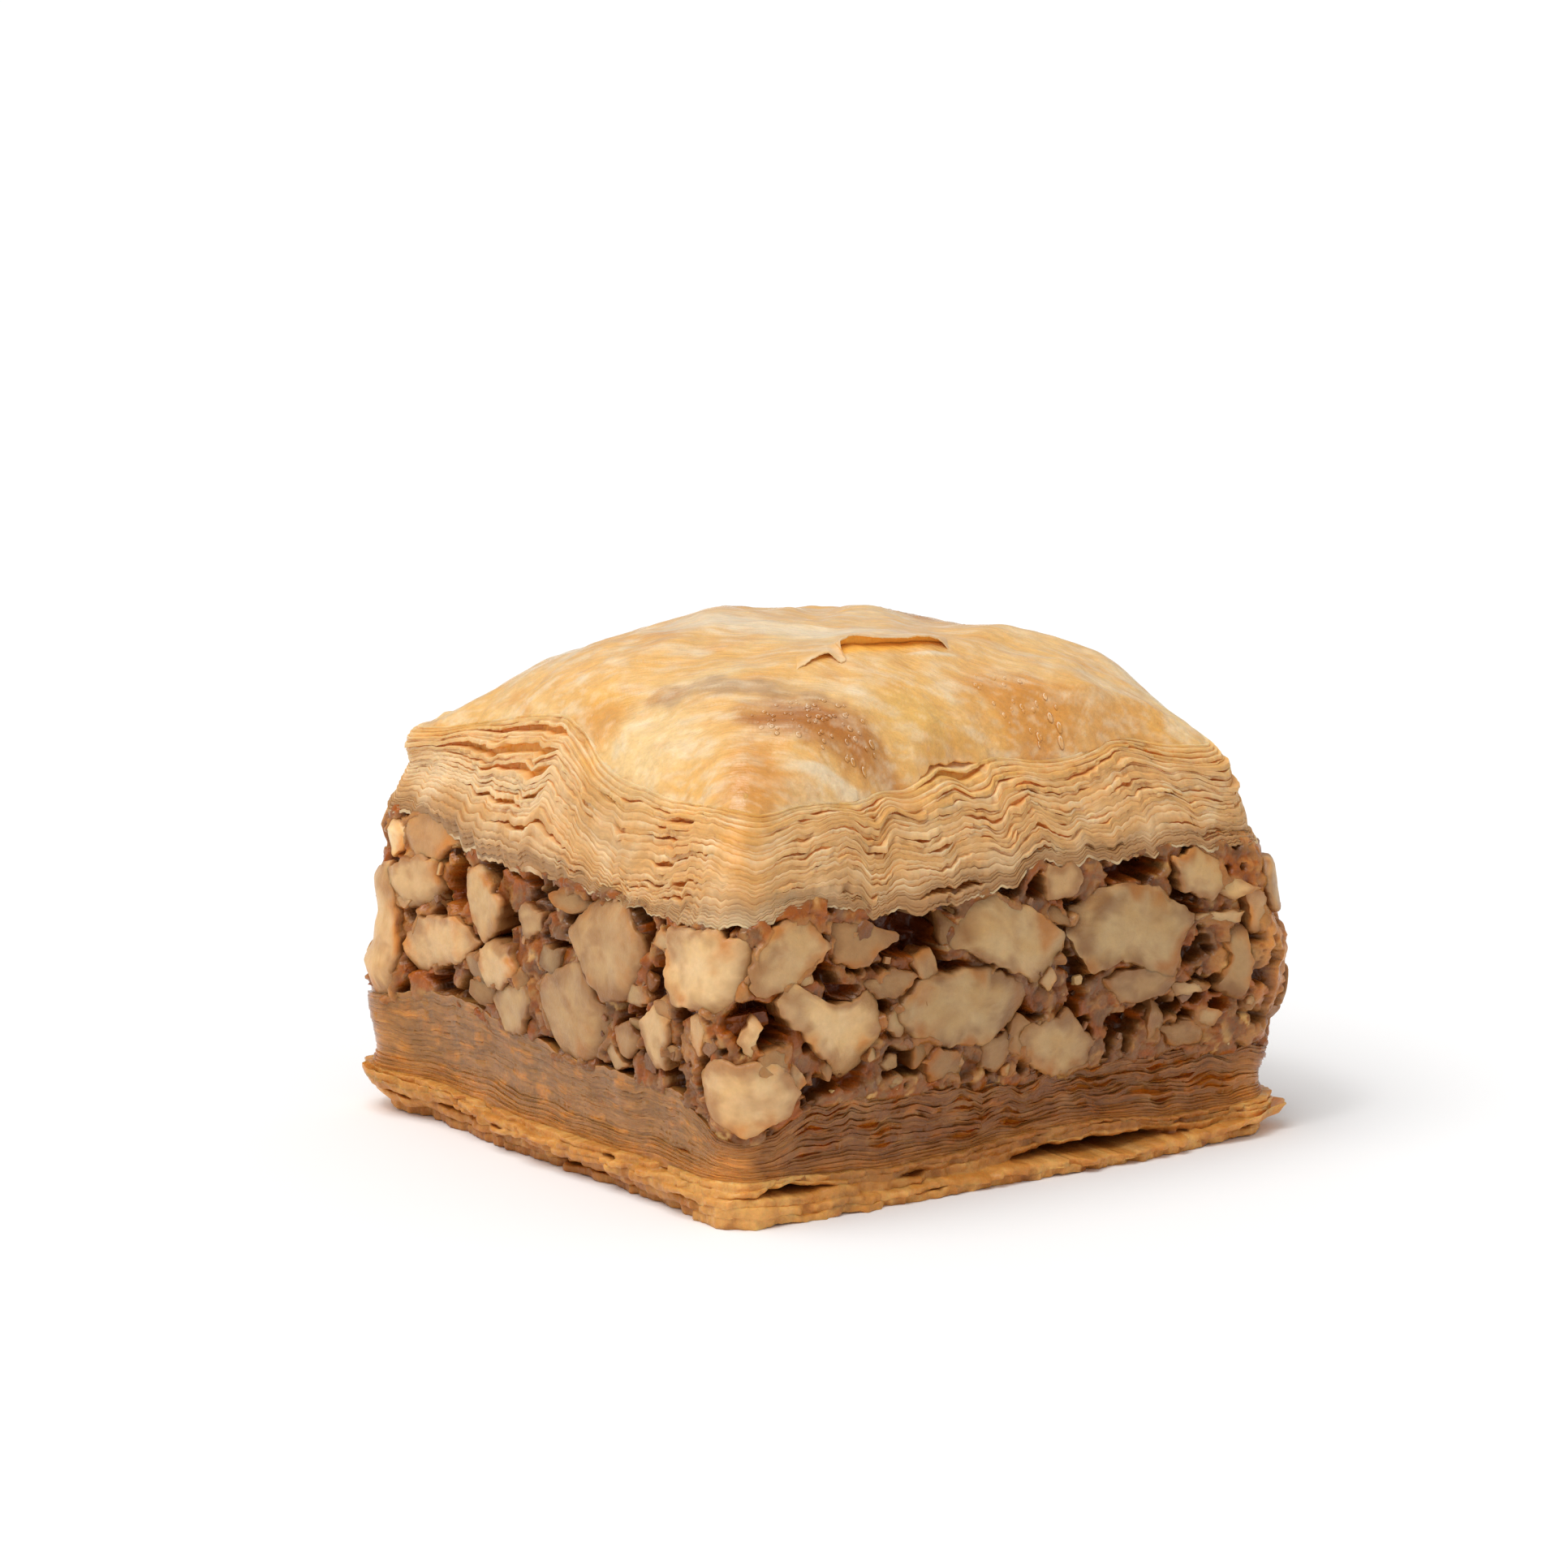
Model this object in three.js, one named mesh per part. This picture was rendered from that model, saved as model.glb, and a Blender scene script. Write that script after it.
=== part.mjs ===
// A square-cut piece of baklava, standing on its soaked bottom crust.
// Three layers run right through the piece: a stack of pressed, syrup-soaked
// filo at the bottom, a thick bed of chopped walnuts in the middle, and a
// puffed, domed stack of filo on top.
// Millimetres, +Z up. The piece stands on z = 0, centred on the Z axis.
// -Y and -X are the two cut faces that meet at the pressed-down near corner.

import * as THREE from 'three';

// ---------------------------------------------------------------- sizes (mm)
const BASE_X = 50.0;          // footprint along X at the foot of the cut
const BASE_Y = 46.0;          // footprint along Y
const CORNER_R = 2.6;         // how blunt the knife leaves the corners

const PRESSED_H = 8.0;        // mean height of the pressed bottom filo
const FILLING_TOP = 22.5;     // mean height of the walnut bed's top
const RIM_H = 29.3;           // height of the top stack's rim
const DOME_H = 9.7;           // how far the middle puffs above the rim
const DOME_POWER = 2.8;       // how square the dome's plan is
const SEAM = 0.26;            // clearance left between two layers

const FLARE = 1.1;            // how far the loose bottom crust splays out
const BULGE = 1.5;            // how far the walnuts push past the foot
const RIM_INSET = 1.9;        // how far the top rim draws in

const SIDE_STEPS = 26;        // points along each side of the outline
const CORNER_STEPS = 4;       // points around each corner

// ------------------------------------------------------------------- helpers
const TAU = Math.PI * 2;
const mix = (a, b, t) => a + (b - a) * t;
const clamp = (v, lo, hi) => Math.min(hi, Math.max(lo, v));
const smooth = (a, b, v) => {
  const t = clamp((v - a) / (b - a), 0, 1);
  return t * t * (3 - 2 * t);
};
const hump = (v, centre, width) => Math.exp(-(((v - centre) / width) ** 2));

// Hand-made pastry is never even: a few sine waves of unrelated length.
function wobble(x, y, z, length, seed) {
  const k = TAU / length;
  return (
    0.5 * Math.sin(k * x * 0.93 + k * y * 0.37 + k * z * 0.61 + seed * 2.3) +
    0.3 * Math.sin(k * x * -0.71 + k * y * 1.31 + k * z * 1.17 + seed * 5.1) +
    0.2 * Math.sin(k * x * 1.73 + k * y * -1.49 + k * z * 2.03 + seed * 7.7)
  );
}

// One lap of a rounded rectangle, with points shared out side by side, so that
// every ring of every layer has the same number of points in the same places.
function lap(halfX, halfY, radius) {
  const points = [];
  const sides = [
    { at: [-halfX, -halfY], along: [1, 0], length: 2 * halfX, out: [0, -1] },
    { at: [halfX, -halfY], along: [0, 1], length: 2 * halfY, out: [1, 0] },
    { at: [halfX, halfY], along: [-1, 0], length: 2 * halfX, out: [0, 1] },
    { at: [-halfX, halfY], along: [0, -1], length: 2 * halfY, out: [-1, 0] },
  ];
  for (const { at, along, length, out } of sides) {
    for (let i = 0; i < SIDE_STEPS; i++) {
      const d = mix(radius, length - radius, i / (SIDE_STEPS - 1));
      points.push([at[0] + along[0] * d, at[1] + along[1] * d]);
    }
    const hub = [
      at[0] + along[0] * (length - radius) - out[0] * radius,
      at[1] + along[1] * (length - radius) - out[1] * radius,
    ];
    for (let i = 1; i <= CORNER_STEPS; i++) {
      const a = (i / (CORNER_STEPS + 1)) * (Math.PI / 2);
      points.push([
        hub[0] + radius * (out[0] * Math.cos(a) + along[0] * Math.sin(a)),
        hub[1] + radius * (out[1] * Math.cos(a) + along[1] * Math.sin(a)),
      ]);
    }
  }
  return points;
}

// ----------------------------------------------------- the piece's own shape
// How far the cut face stands out (+) or in (-) from the foot at height z.
function profile(z) {
  const flare = FLARE * hump(z, 1.9, 1.5);
  const waist = -0.35 * hump(z, 5.2, 1.9);
  const nuts = BULGE * smooth(6.0, 12.0, z) * (1 - smooth(17.5, 24.5, z));
  const rim = -RIM_INSET * smooth(21.5, 29.5, z);
  return flare + waist + nuts + rim;
}

// One ring of the outline at height z, uneven as a cut through nuts is.
function outline(z) {
  const grow = profile(z);
  const ring = lap(BASE_X / 2 + grow, BASE_Y / 2 + grow, CORNER_R);
  const rough = mix(0.18, 0.42, smooth(7, 11, z) * (1 - smooth(20, 24, z)));
  return ring.map(([x, y]) => {
    const out = rough * wobble(x, y, z, 17, 1) + 0.5 * rough * wobble(x, y, z, 6.1, 2);
    const r = Math.hypot(x, y);
    return [x + (x / r) * out, y + (y / r) * out];
  });
}

// The two seams inside the piece, and the dome, as heights over the plan.
const pressedTop = (x, y) =>
  PRESSED_H + 0.9 * smooth(0, -25, x) * smooth(-18, 0, y) -
  1.0 * hump(x, -25, 6) * hump(y, -23, 6) +
  0.45 * wobble(x, y, 0, 21, 3);

const fillingTop = (x, y) =>
  FILLING_TOP + 1.2 * smooth(8, 22, y) * smooth(0, -20, x) +
  0.55 * wobble(x, y, 0, 16, 4) + 0.25 * wobble(x, y, 0, 7, 5);

function domeTop(x, y) {
  const u = clamp(Math.abs(x) / (BASE_X / 2 - RIM_INSET), 0, 1);
  const v = clamp(Math.abs(y) / (BASE_Y / 2 - RIM_INSET), 0, 1);
  const rise = Math.sqrt(
    Math.max(0, 1 - u ** DOME_POWER) * Math.max(0, 1 - v ** DOME_POWER));
  const blister = 2.6 * hump(y, 5.5, 5.5) * smooth(-9, -21, x);
  const tilt = -0.15 * (x / BASE_X) - 0.6 * (y / BASE_Y);
  return RIM_H + DOME_H * rise + blister * (0.75 + 0.25 * rise) + tilt +
    0.5 * wobble(x, y, 0, 15, 6) * smooth(0, 0.5, rise) +
    0.18 * wobble(x, y, 0, 7.5, 7);
}

// ------------------------------------------------------------ solid building
// A closed solid from rings: a cap below, the side rows, a cap above. Each
// ring lists its points in the same order, and each cap ends in one point.
function solidFromRings(rings, lowPoint, highPoint) {
  const n = rings[0].length;
  const position = [];
  for (const ring of rings) for (const p of ring) position.push(...p);
  const low = position.length / 3;
  position.push(...lowPoint);
  const high = position.length / 3;
  position.push(...highPoint);

  const index = [];
  for (let i = 0; i < n; i++) {
    const j = (i + 1) % n;
    index.push(low, j, i);
    for (let r = 0; r + 1 < rings.length; r++) {
      const a = r * n + i, b = r * n + j, c = a + n, d = b + n;
      index.push(a, b, d, a, d, c);
    }
    const top = (rings.length - 1) * n;
    index.push(top + i, top + j, high);
  }
  const geometry = new THREE.BufferGeometry();
  geometry.setAttribute('position', new THREE.Float32BufferAttribute(position, 3));
  geometry.setIndex(index);
  geometry.computeVertexNormals();
  return geometry;
}

// A layer between two surfaces. The side rows run from one to the other, each
// at its own height on the bulging outline.
function layer({ below, above, sideRows, capBelow, capAbove }) {
  const seamLow = outline(below.nominal);
  const seamHigh = outline(above.nominal);
  const rings = [];
  for (const k of capBelow) {
    rings.push(seamLow.map(([x, y]) => [x * k, y * k, below.z(x * k, y * k)]));
  }
  rings.push(seamLow.map(([x, y]) => [x, y, below.z(x, y)]));
  for (const t of sideRows) {
    const nominal = mix(below.nominal, above.nominal, t);
    const ring = outline(nominal);
    rings.push(ring.map(([x, y], i) => {
      const lo = below.z(...seamLow[i]);
      const hi = above.z(...seamHigh[i]);
      return [x, y, mix(lo, hi, t)];
    }));
  }
  rings.push(seamHigh.map(([x, y]) => [x, y, above.z(x, y)]));
  for (const k of capAbove) {
    rings.push(seamHigh.map(([x, y]) => [x * k, y * k, above.z(x * k, y * k)]));
  }
  return solidFromRings(rings,
    [0, 0, below.z(0, 0)], [0, 0, above.z(0, 0)]);
}

const FLAT = [0.45, 0.85];               // cap rings under a layer, inner first
const SEAM_CAP = [0.85, 0.45];           // the same rings on top of a layer
const DOME_CAP = [0.985, 0.955, 0.91, 0.84, 0.74, 0.61, 0.46, 0.3, 0.14];

const bottomPastry = layer({
  below: { nominal: 0, z: () => 0 },
  above: { nominal: PRESSED_H, z: (x, y) => pressedTop(x, y) - SEAM / 2 },
  sideRows: [0.12, 0.26, 0.42, 0.6, 0.8],
  capBelow: FLAT,
  capAbove: SEAM_CAP,
});

const walnutFilling = layer({
  below: { nominal: PRESSED_H, z: (x, y) => pressedTop(x, y) + SEAM / 2 },
  above: { nominal: FILLING_TOP, z: (x, y) => fillingTop(x, y) - SEAM / 2 },
  sideRows: [0.1, 0.24, 0.4, 0.56, 0.72, 0.87],
  capBelow: FLAT,
  capAbove: SEAM_CAP,
});

const topPastry = layer({
  below: { nominal: FILLING_TOP, z: (x, y) => fillingTop(x, y) + SEAM / 2 },
  above: { nominal: RIM_H, z: domeTop },
  sideRows: [0.2, 0.42, 0.64, 0.84],
  capBelow: FLAT,
  capAbove: DOME_CAP,
});

// Centre the whole piece on the Z axis.
const pieces = [bottomPastry, walnutFilling, topPastry];
const box = new THREE.Box3();
for (const g of pieces) {
  g.computeBoundingBox();
  box.union(g.boundingBox);
}
const middle = box.getCenter(new THREE.Vector3());
for (const g of pieces) g.translate(-middle.x, -middle.y, 0);

// ---------------------------------------------------------------- the object
function mesh(name, geometry, color, roughness) {
  const m = new THREE.Mesh(geometry,
    new THREE.MeshStandardMaterial({ color, roughness, metalness: 0 }));
  m.name = name;
  return m;
}

const baklava = new THREE.Group();
baklava.name = 'baklava_piece';
baklava.add(mesh('bottom_pastry', bottomPastry, 0x93643a, 0.42));
baklava.add(mesh('walnut_filling', walnutFilling, 0xb18558, 0.5));
baklava.add(mesh('top_pastry', topPastry, 0xe0aa66, 0.45));

export default baklava;
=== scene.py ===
# A square-cut piece of walnut baklava: looks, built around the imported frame.
# Lengths are worked in millimetres and written to Blender in metres.
import math

import bpy
import numpy as np
from mathutils import Matrix, Vector


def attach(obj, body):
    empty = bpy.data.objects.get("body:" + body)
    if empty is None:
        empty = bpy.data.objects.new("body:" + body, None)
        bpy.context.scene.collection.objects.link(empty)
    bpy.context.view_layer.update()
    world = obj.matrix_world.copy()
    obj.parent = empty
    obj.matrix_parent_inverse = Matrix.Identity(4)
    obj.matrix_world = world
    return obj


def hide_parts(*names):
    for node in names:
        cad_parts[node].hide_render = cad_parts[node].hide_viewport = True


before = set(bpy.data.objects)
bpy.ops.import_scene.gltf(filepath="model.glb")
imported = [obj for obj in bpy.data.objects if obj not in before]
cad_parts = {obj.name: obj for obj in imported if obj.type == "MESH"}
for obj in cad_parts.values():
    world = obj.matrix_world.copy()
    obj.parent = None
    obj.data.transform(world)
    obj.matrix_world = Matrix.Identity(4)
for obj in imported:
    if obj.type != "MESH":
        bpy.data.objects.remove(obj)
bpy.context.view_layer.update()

MM = 0.001
F32 = np.float32

# ------------------------------------------------------------------ the sizes
HALF_X, HALF_Y = 25.0, 23.0     # half the footprint at the foot of the cut
CORNER_R = 2.6                  # how blunt the corners are
SIDES = (50.0, 46.0, 50.0, 46.0)
PER = sum(SIDES)                # one lap round the piece, 192 mm
RIM_INSET = 1.9
DOME_TOP = 39.2
DOME_POWER = 2.8
DOME_BLUNT = 0.72


# ---------------------------------------------------------------------- noise
_rng = np.random.default_rng(20240)
_G = _rng.normal(size=(256, 3))
_G = (_G / np.linalg.norm(_G, axis=1, keepdims=True)).astype(F32)
_P = _rng.permutation(256).astype(np.int32)


def perlin(pts, seed=0):
    """Gradient noise of points (..., 3), about -1 to 1."""
    p = np.asarray(pts, F32)
    shape = p.shape[:-1]
    p = p.reshape(-1, 3)
    base = np.floor(p)
    f = p - base
    i = base.astype(np.int32) + np.array([seed * 31 + 7, seed * 17 + 3, seed * 53 + 11], np.int32)
    u = f * f * f * (f * (f * 6 - 15) + 10)
    out = np.zeros(len(p), F32)
    for dx in (0, 1):
        hx = _P[(i[:, 0] + dx) & 255]
        wx = u[:, 0] if dx else 1 - u[:, 0]
        for dy in (0, 1):
            hy = _P[(hx + i[:, 1] + dy) & 255]
            wy = u[:, 1] if dy else 1 - u[:, 1]
            for dz in (0, 1):
                h = _P[(hy + i[:, 2] + dz) & 255]
                wz = u[:, 2] if dz else 1 - u[:, 2]
                g = _G[h]
                out += wx * wy * wz * (
                    g[:, 0] * (f[:, 0] - dx) + g[:, 1] * (f[:, 1] - dy) + g[:, 2] * (f[:, 2] - dz))
    return (out * 1.55).reshape(shape)


def fbm(pts, size, octaves=3, seed=0, gain=0.5):
    """Noise of several sizes, the largest about `size` mm across."""
    p = np.asarray(pts, F32) / size
    total, amp, norm = 0.0, 1.0, 0.0
    for k in range(octaves):
        total = total + amp * perlin(p, seed + 13 * k)
        norm += amp
        amp *= gain
        p = p * 2.03 + 5.7
    return total / norm


def stack3(a, b, c):
    a, b, c = np.broadcast_arrays(a, b, c)
    return np.stack([a, b, c], axis=-1).astype(F32)


_J = _rng.random((256, 3)).astype(F32)


def cells(pts, size, seed=0):
    """Uneven cells about `size` across: how near the nearest seed is, how near
    the next one is, and three numbers from 0 to 1 that belong to the cell."""
    p = np.asarray(pts, F32) / size
    shape = p.shape[:-1]
    p = p.reshape(-1, 3)
    base = np.floor(p).astype(np.int32)
    near, far, who = np.full(len(p), 9, F32), np.full(len(p), 9, F32), np.zeros(len(p), np.int32)
    for dx in (-1, 0, 1):
        for dy in (-1, 0, 1):
            for dz in (-1, 0, 1):
                c = base + np.array([dx, dy, dz], np.int32)
                h = _P[(_P[(_P[(c[:, 0] + seed * 37) & 255] + c[:, 1]) & 255] + c[:, 2]) & 255]
                d = np.linalg.norm(c + _J[h] - p, axis=1)
                closer = d < near
                far = np.where(closer, near, np.minimum(far, d))
                who = np.where(closer, h, who)
                near = np.where(closer, d, near)
    return near.reshape(shape), far.reshape(shape), _J[_P[who]].reshape(shape + (3,))


def smooth(a, b, v):
    t = np.clip((v - a) / (b - a), 0, 1)
    return t * t * (3 - 2 * t)


def mix(a, b, t):
    return a + (b - a) * t


def lin(r, g, b):
    """A screen colour, 0 to 255, as linear light."""
    c = np.array([r, g, b], float) / 255
    return np.where(c <= 0.04045, c / 12.92, ((c + 0.055) / 1.055) ** 2.4).astype(F32)


def blend(col, other, mask):
    m = np.asarray(mask)[..., None]
    return col * (1 - m) + other * m


# --------------------------------------------------------- round the outline
# s runs round the piece from the near corner (-X, -Y): along the -Y face to
# 50, the +X face to 96, the +Y face to 146, and the -X face back to 192.
def ring(s):
    """Foot points and outward directions at s, for s of any shape."""
    s = np.asarray(s, float)
    if s.ndim != 1:
        foot, out = ring(s.ravel())
        return foot.reshape(s.shape + (2,)), out.reshape(s.shape + (2,))
    s = np.mod(s, PER)
    starts = np.array([0.0, 50.0, 96.0, 146.0])
    side = np.searchsorted(starts, s, side="right") - 1
    length = np.array(SIDES)[side]
    d = s - starts[side]
    corner = np.array([[-HALF_X, -HALF_Y], [HALF_X, -HALF_Y], [HALF_X, HALF_Y], [-HALF_X, HALF_Y]])[side]
    along = np.array([[1, 0], [0, 1], [-1, 0], [0, -1]], float)[side]
    out = np.array([[0, -1], [1, 0], [0, 1], [-1, 0]], float)[side]
    r = CORNER_R
    near = d < r
    far = d > length - r
    f = np.where(near, d / r, np.where(far, (length - d) / r, 1.0))
    a = (math.pi / 4) * (1 - f) * np.where(near, -1.0, 1.0)
    dirn = out * np.cos(a)[:, None] + along * np.sin(a)[:, None]
    at = np.where(near, r, np.where(far, length - r, d))
    hub = corner + along * at[:, None] - out * r
    return hub + dirn * r, dirn


def cornerness(s, reach=3.0):
    s = np.mod(s, PER)
    d = np.full(np.shape(s), 1e9)
    for c in (0.0, 50.0, 96.0, 146.0, 192.0):
        d = np.minimum(d, np.abs(s - c))
    return np.exp(-(d / reach) ** 2)


def lap_points(n, near_gain=1.8):
    """n places round the outline, closer together on the two cut faces."""
    dense = np.linspace(0, PER, 4001)
    mid = 0.5 * (dense[1:] + dense[:-1])
    w = np.where((mid < 50) | (mid > 146), near_gain, 1.0)
    acc = np.concatenate([[0], np.cumsum(w)])
    return np.interp(np.arange(n) / n * acc[-1], acc, dense)


def limit(off, s):
    """Keeps a deep inward offset from folding over itself at a corner."""
    deepest = mix(6.0, 1.9, cornerness(s, 4.0))
    return np.where(off < 0, -deepest * np.tanh(-off / deepest), off)


def round_noise(s, size, level=0.0, seed=0):
    """Noise that follows the outline and closes on itself."""
    foot, _ = ring(s)
    return perlin(stack3(foot[..., 0] / size, foot[..., 1] / size, level), seed)


def wall(s, off, z):
    """Points on the wall: s (n,), off and z (rows, n) give (rows, n, 3)."""
    foot, out = ring(s)
    off = limit(off, s)
    inward = lean(s, z)
    x = (foot[..., 0] + out[..., 0] * off) * (1 - inward / HALF_X)
    y = (foot[..., 1] + out[..., 1] * off) * (1 - inward / HALF_Y)
    return stack3(x, y, z)


DENSE = np.linspace(0, PER, 1921)[:-1]


def table(pairs, blur=0.8):
    """A value that goes round the piece through a few named places."""
    s, v = zip(*pairs)
    t = np.interp(DENSE, s, v, period=PER)
    k = np.fft.rfftfreq(len(t), d=PER / len(t))
    return np.fft.irfft(np.fft.rfft(t) * np.exp(-2 * (math.pi * k * blur) ** 2), len(t))


def read(tab, s):
    return np.interp(np.mod(s, PER), DENSE, tab, period=PER)


# How far the top stack leans in at each height, and how much of that each place takes.
LEAN = ((22.5, 0.0), (24.5, 0.15), (26.5, 0.8), (28.5, 1.6), (30, 2.3), (31, 2.85), (32, 3.5), (34, 4.8), (36, 6.4))
LEAN_GAIN = table([
    (0, 0.8), (5, 1.1), (10, 1.25), (44, 1.25), (48, 0.95), (50, 0.80), (53, 0.85), (56, 0.75), (60, 0.62), (64, 0.70),
    (70, 1.0), (90, 1.0), (96, 0.8), (104, 1.05), (138, 1.05), (146, 0.5), (151, 0.70), (160, 0.75), (168, 0.78),
    (176, 0.95), (184, 1.0)], blur=1.0)


def lean(s, z):
    return np.interp(z, *zip(*LEAN)) * read(LEAN_GAIN, s)


# Heights of the seams and the rim round the piece: place, height (mm).
PRESSED = table([
    (0, 6.2), (2.6, 6.7), (7, 8.8), (14.4, 8.4), (25.9, 7.5), (33, 7.6), (41.8, 7.6), (50, 7.0),
    (56, 7.4), (62, 8.4), (75, 7.6), (88, 8.6), (96, 7.8),
    (104, 8.8), (118, 7.8), (132, 8.8), (146, 9.6),
    (149, 9.8), (155.7, 10.9), (161, 10.3), (171, 9.0), (181.5, 9.2), (186.6, 8.9), (189.6, 6.9)])
FILLED = table([
    (0, 22.3), (2.6, 22.2), (7, 23.1), (13.6, 21.6), (22, 21.7), (25, 22.2), (28, 23.6), (37.5, 22.7), (41.5, 23.3),
    (49.7, 22.4), (58, 23.2), (70, 22.1), (82, 23.4), (96, 22.6),
    (108, 23.3), (120, 22.2), (134, 23.5), (146, 24.2),
    (151.4, 23.8), (160.4, 22.2), (171.2, 22.0), (179.5, 22.1), (186.6, 21.8)], blur=0.6)
RIM = table([
    (0, 30.0), (3.3, 29.7), (7, 29.6), (11.8, 29.4), (16, 29.9), (21.2, 30.6), (27.3, 31.1), (33, 30.4), (36, 30.3),
    (41.6, 31.0), (46, 30.6), (50, 29.9), (53, 30.8), (56, 32.2), (60, 34.0), (63, 33.6), (67, 32.0), (74, 30.8),
    (84, 31.4), (92, 30.4), (96, 29.6), (106, 31.0), (118, 30.2), (132, 31.2), (141, 30.6), (146, 30.4),
    (150, 30.8), (154, 31.7), (160, 33.0), (164.6, 33.5), (167.6, 32.8), (170.4, 31.5), (173.8, 30.5), (178.5, 29.8), (185, 29.7),
    (189.6, 30.0)], blur=0.7)


# How far the cut face stands out from the foot at each height, and how much
# further out the two side corners are, and further in the far one.
PROFILE = ((0, 0.0), (1.5, 0.3), (3, 0.2), (5, -0.1), (7, 0.2), (9, 0.7), (12, 1.1), (15, 1.3), (18, 1.1), (20.5, 0.8),
           (22.5, 0.4), (24.5, 0.05), (27, 0.0), (34, 0.0))
CORNERS = (
    (50.0, 5.0, ((0, 1.8), (1.5, 1.3), (4, 1.2), (6, 1.7), (8, 1.9), (12, 2.1), (15, 2.2), (18, 1.3), (21, 1.3), (22.5, 0.6),
                 (24, 0.1), (27, 0.2), (30, 0.1))),
    (146.0, 5.0, ((0, 1.6), (2.5, 2.1), (5, 1.9), (8, 2.2), (12, 1.6), (13.5, 0.6), (16, 0.1), (18.5, 0.7), (21, 0.2),
                  (22.5, 1.0), (25, 0.5), (27.5, -0.3), (30, 0.8), (33, 0.3))),
    (96.0, 5.0, ((0, 1.0), (8, 1.2), (15, 1.2), (22, 0.5), (28, -0.2), (33, -0.3))),
    (0.0, 5.0, ((0, 0.3), (6, 0.2), (12, 0.3), (20, 0.2), (26, 0.0), (31, 0.0))),
    (37.0, 12.0, ((0, 1.0), (2.5, 0.7), (5, 0.2), (7, 0.0))),
)


def skin(s, z):
    """The cut face's stand-out at place s and height z."""
    s, z = np.broadcast_arrays(np.mod(s, PER), z)
    out = np.interp(z, *zip(*PROFILE))
    for at_, reach, heights in CORNERS:
        d = np.mod(s - at_ + PER / 2, PER) - PER / 2
        out = out + np.exp(-(d / reach) ** 2) * np.interp(z, *zip(*heights))
    foot, _ = ring(s)
    return out + 0.28 * perlin(stack3(foot[..., 0] / 9, foot[..., 1] / 9, z / 9), 2)


def stepped_back(s, f):
    """The topmost leaves lie back, one behind the other."""
    foot, _ = ring(s)
    x, y = foot[..., 0], foot[..., 1]
    step = 0.50 + 0.40 * perlin(stack3(x / 4.0, y / 4.0, 0 * x + f * 2.0), 45)
    return step * smooth(0.80, 1.0, f)


def rim_offset(s, torn=True):
    """How far out the edge of the top leaf lies, with or without its torn line."""
    foot, _ = ring(s)
    x, y = foot[..., 0], foot[..., 1]
    out = skin(s, read(RIM, s)) - 0.05 - stepped_back(s, 1.0) - 0.16
    if torn:
        out = out + 0.16 * perlin(stack3(x / 1.3, y / 1.3, 0 * x), 4) + 0.10 * perlin(stack3(x / 0.5, y / 0.5, 0 * x), 5)
    return out


def plan_of(x, y):
    """Where a point of the plan lies: its place round the piece, and how far out it is, 0 to 1."""
    a, b = x / (HALF_X - 3.0), y / (HALF_Y - 3.0)
    m = np.maximum(np.maximum(np.abs(a), np.abs(b)), 1e-6)
    return place_of(a / m, b / m), m


def place_of(a, b):
    """Place round the piece of a direction on the unit square."""
    low, right, high = b <= -0.999999, a >= 0.999999, b >= 0.999999
    s = 146 + (1 - b) / 2 * 46
    s = np.where(high, 96 + (1 - a) / 2 * 50, s)
    s = np.where(right & ~high, 50 + (b + 1) / 2 * 46, s)
    return np.where(low & ~(right & (b > -0.999999)), (a + 1) / 2 * 50, s)


def dome_rise(x, y):
    """How far up the dome a point of the plan is, 1 at the crown."""
    a = np.clip(1 - np.abs(x / (HALF_X - 1.9)) ** DOME_POWER, 0, 1)
    b = np.clip(1 - np.abs(y / (HALF_Y - 1.9)) ** DOME_POWER, 0, 1)
    return (a * b) ** DOME_BLUNT


def crest_line(x, y, ax, ay, bx, by, width):
    """1 on the line from a to b, falling off over `width`."""
    dx, dy = bx - ax, by - ay
    t = np.clip(((x - ax) * dx + (y - ay) * dy) / (dx * dx + dy * dy), 0, 1)
    d = np.hypot(x - ax - t * dx, y - ay - t * dy)
    return np.exp(-(d / width) ** 2) * np.sin(math.pi * np.clip(t, 0.02, 0.98)) ** 0.6


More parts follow.
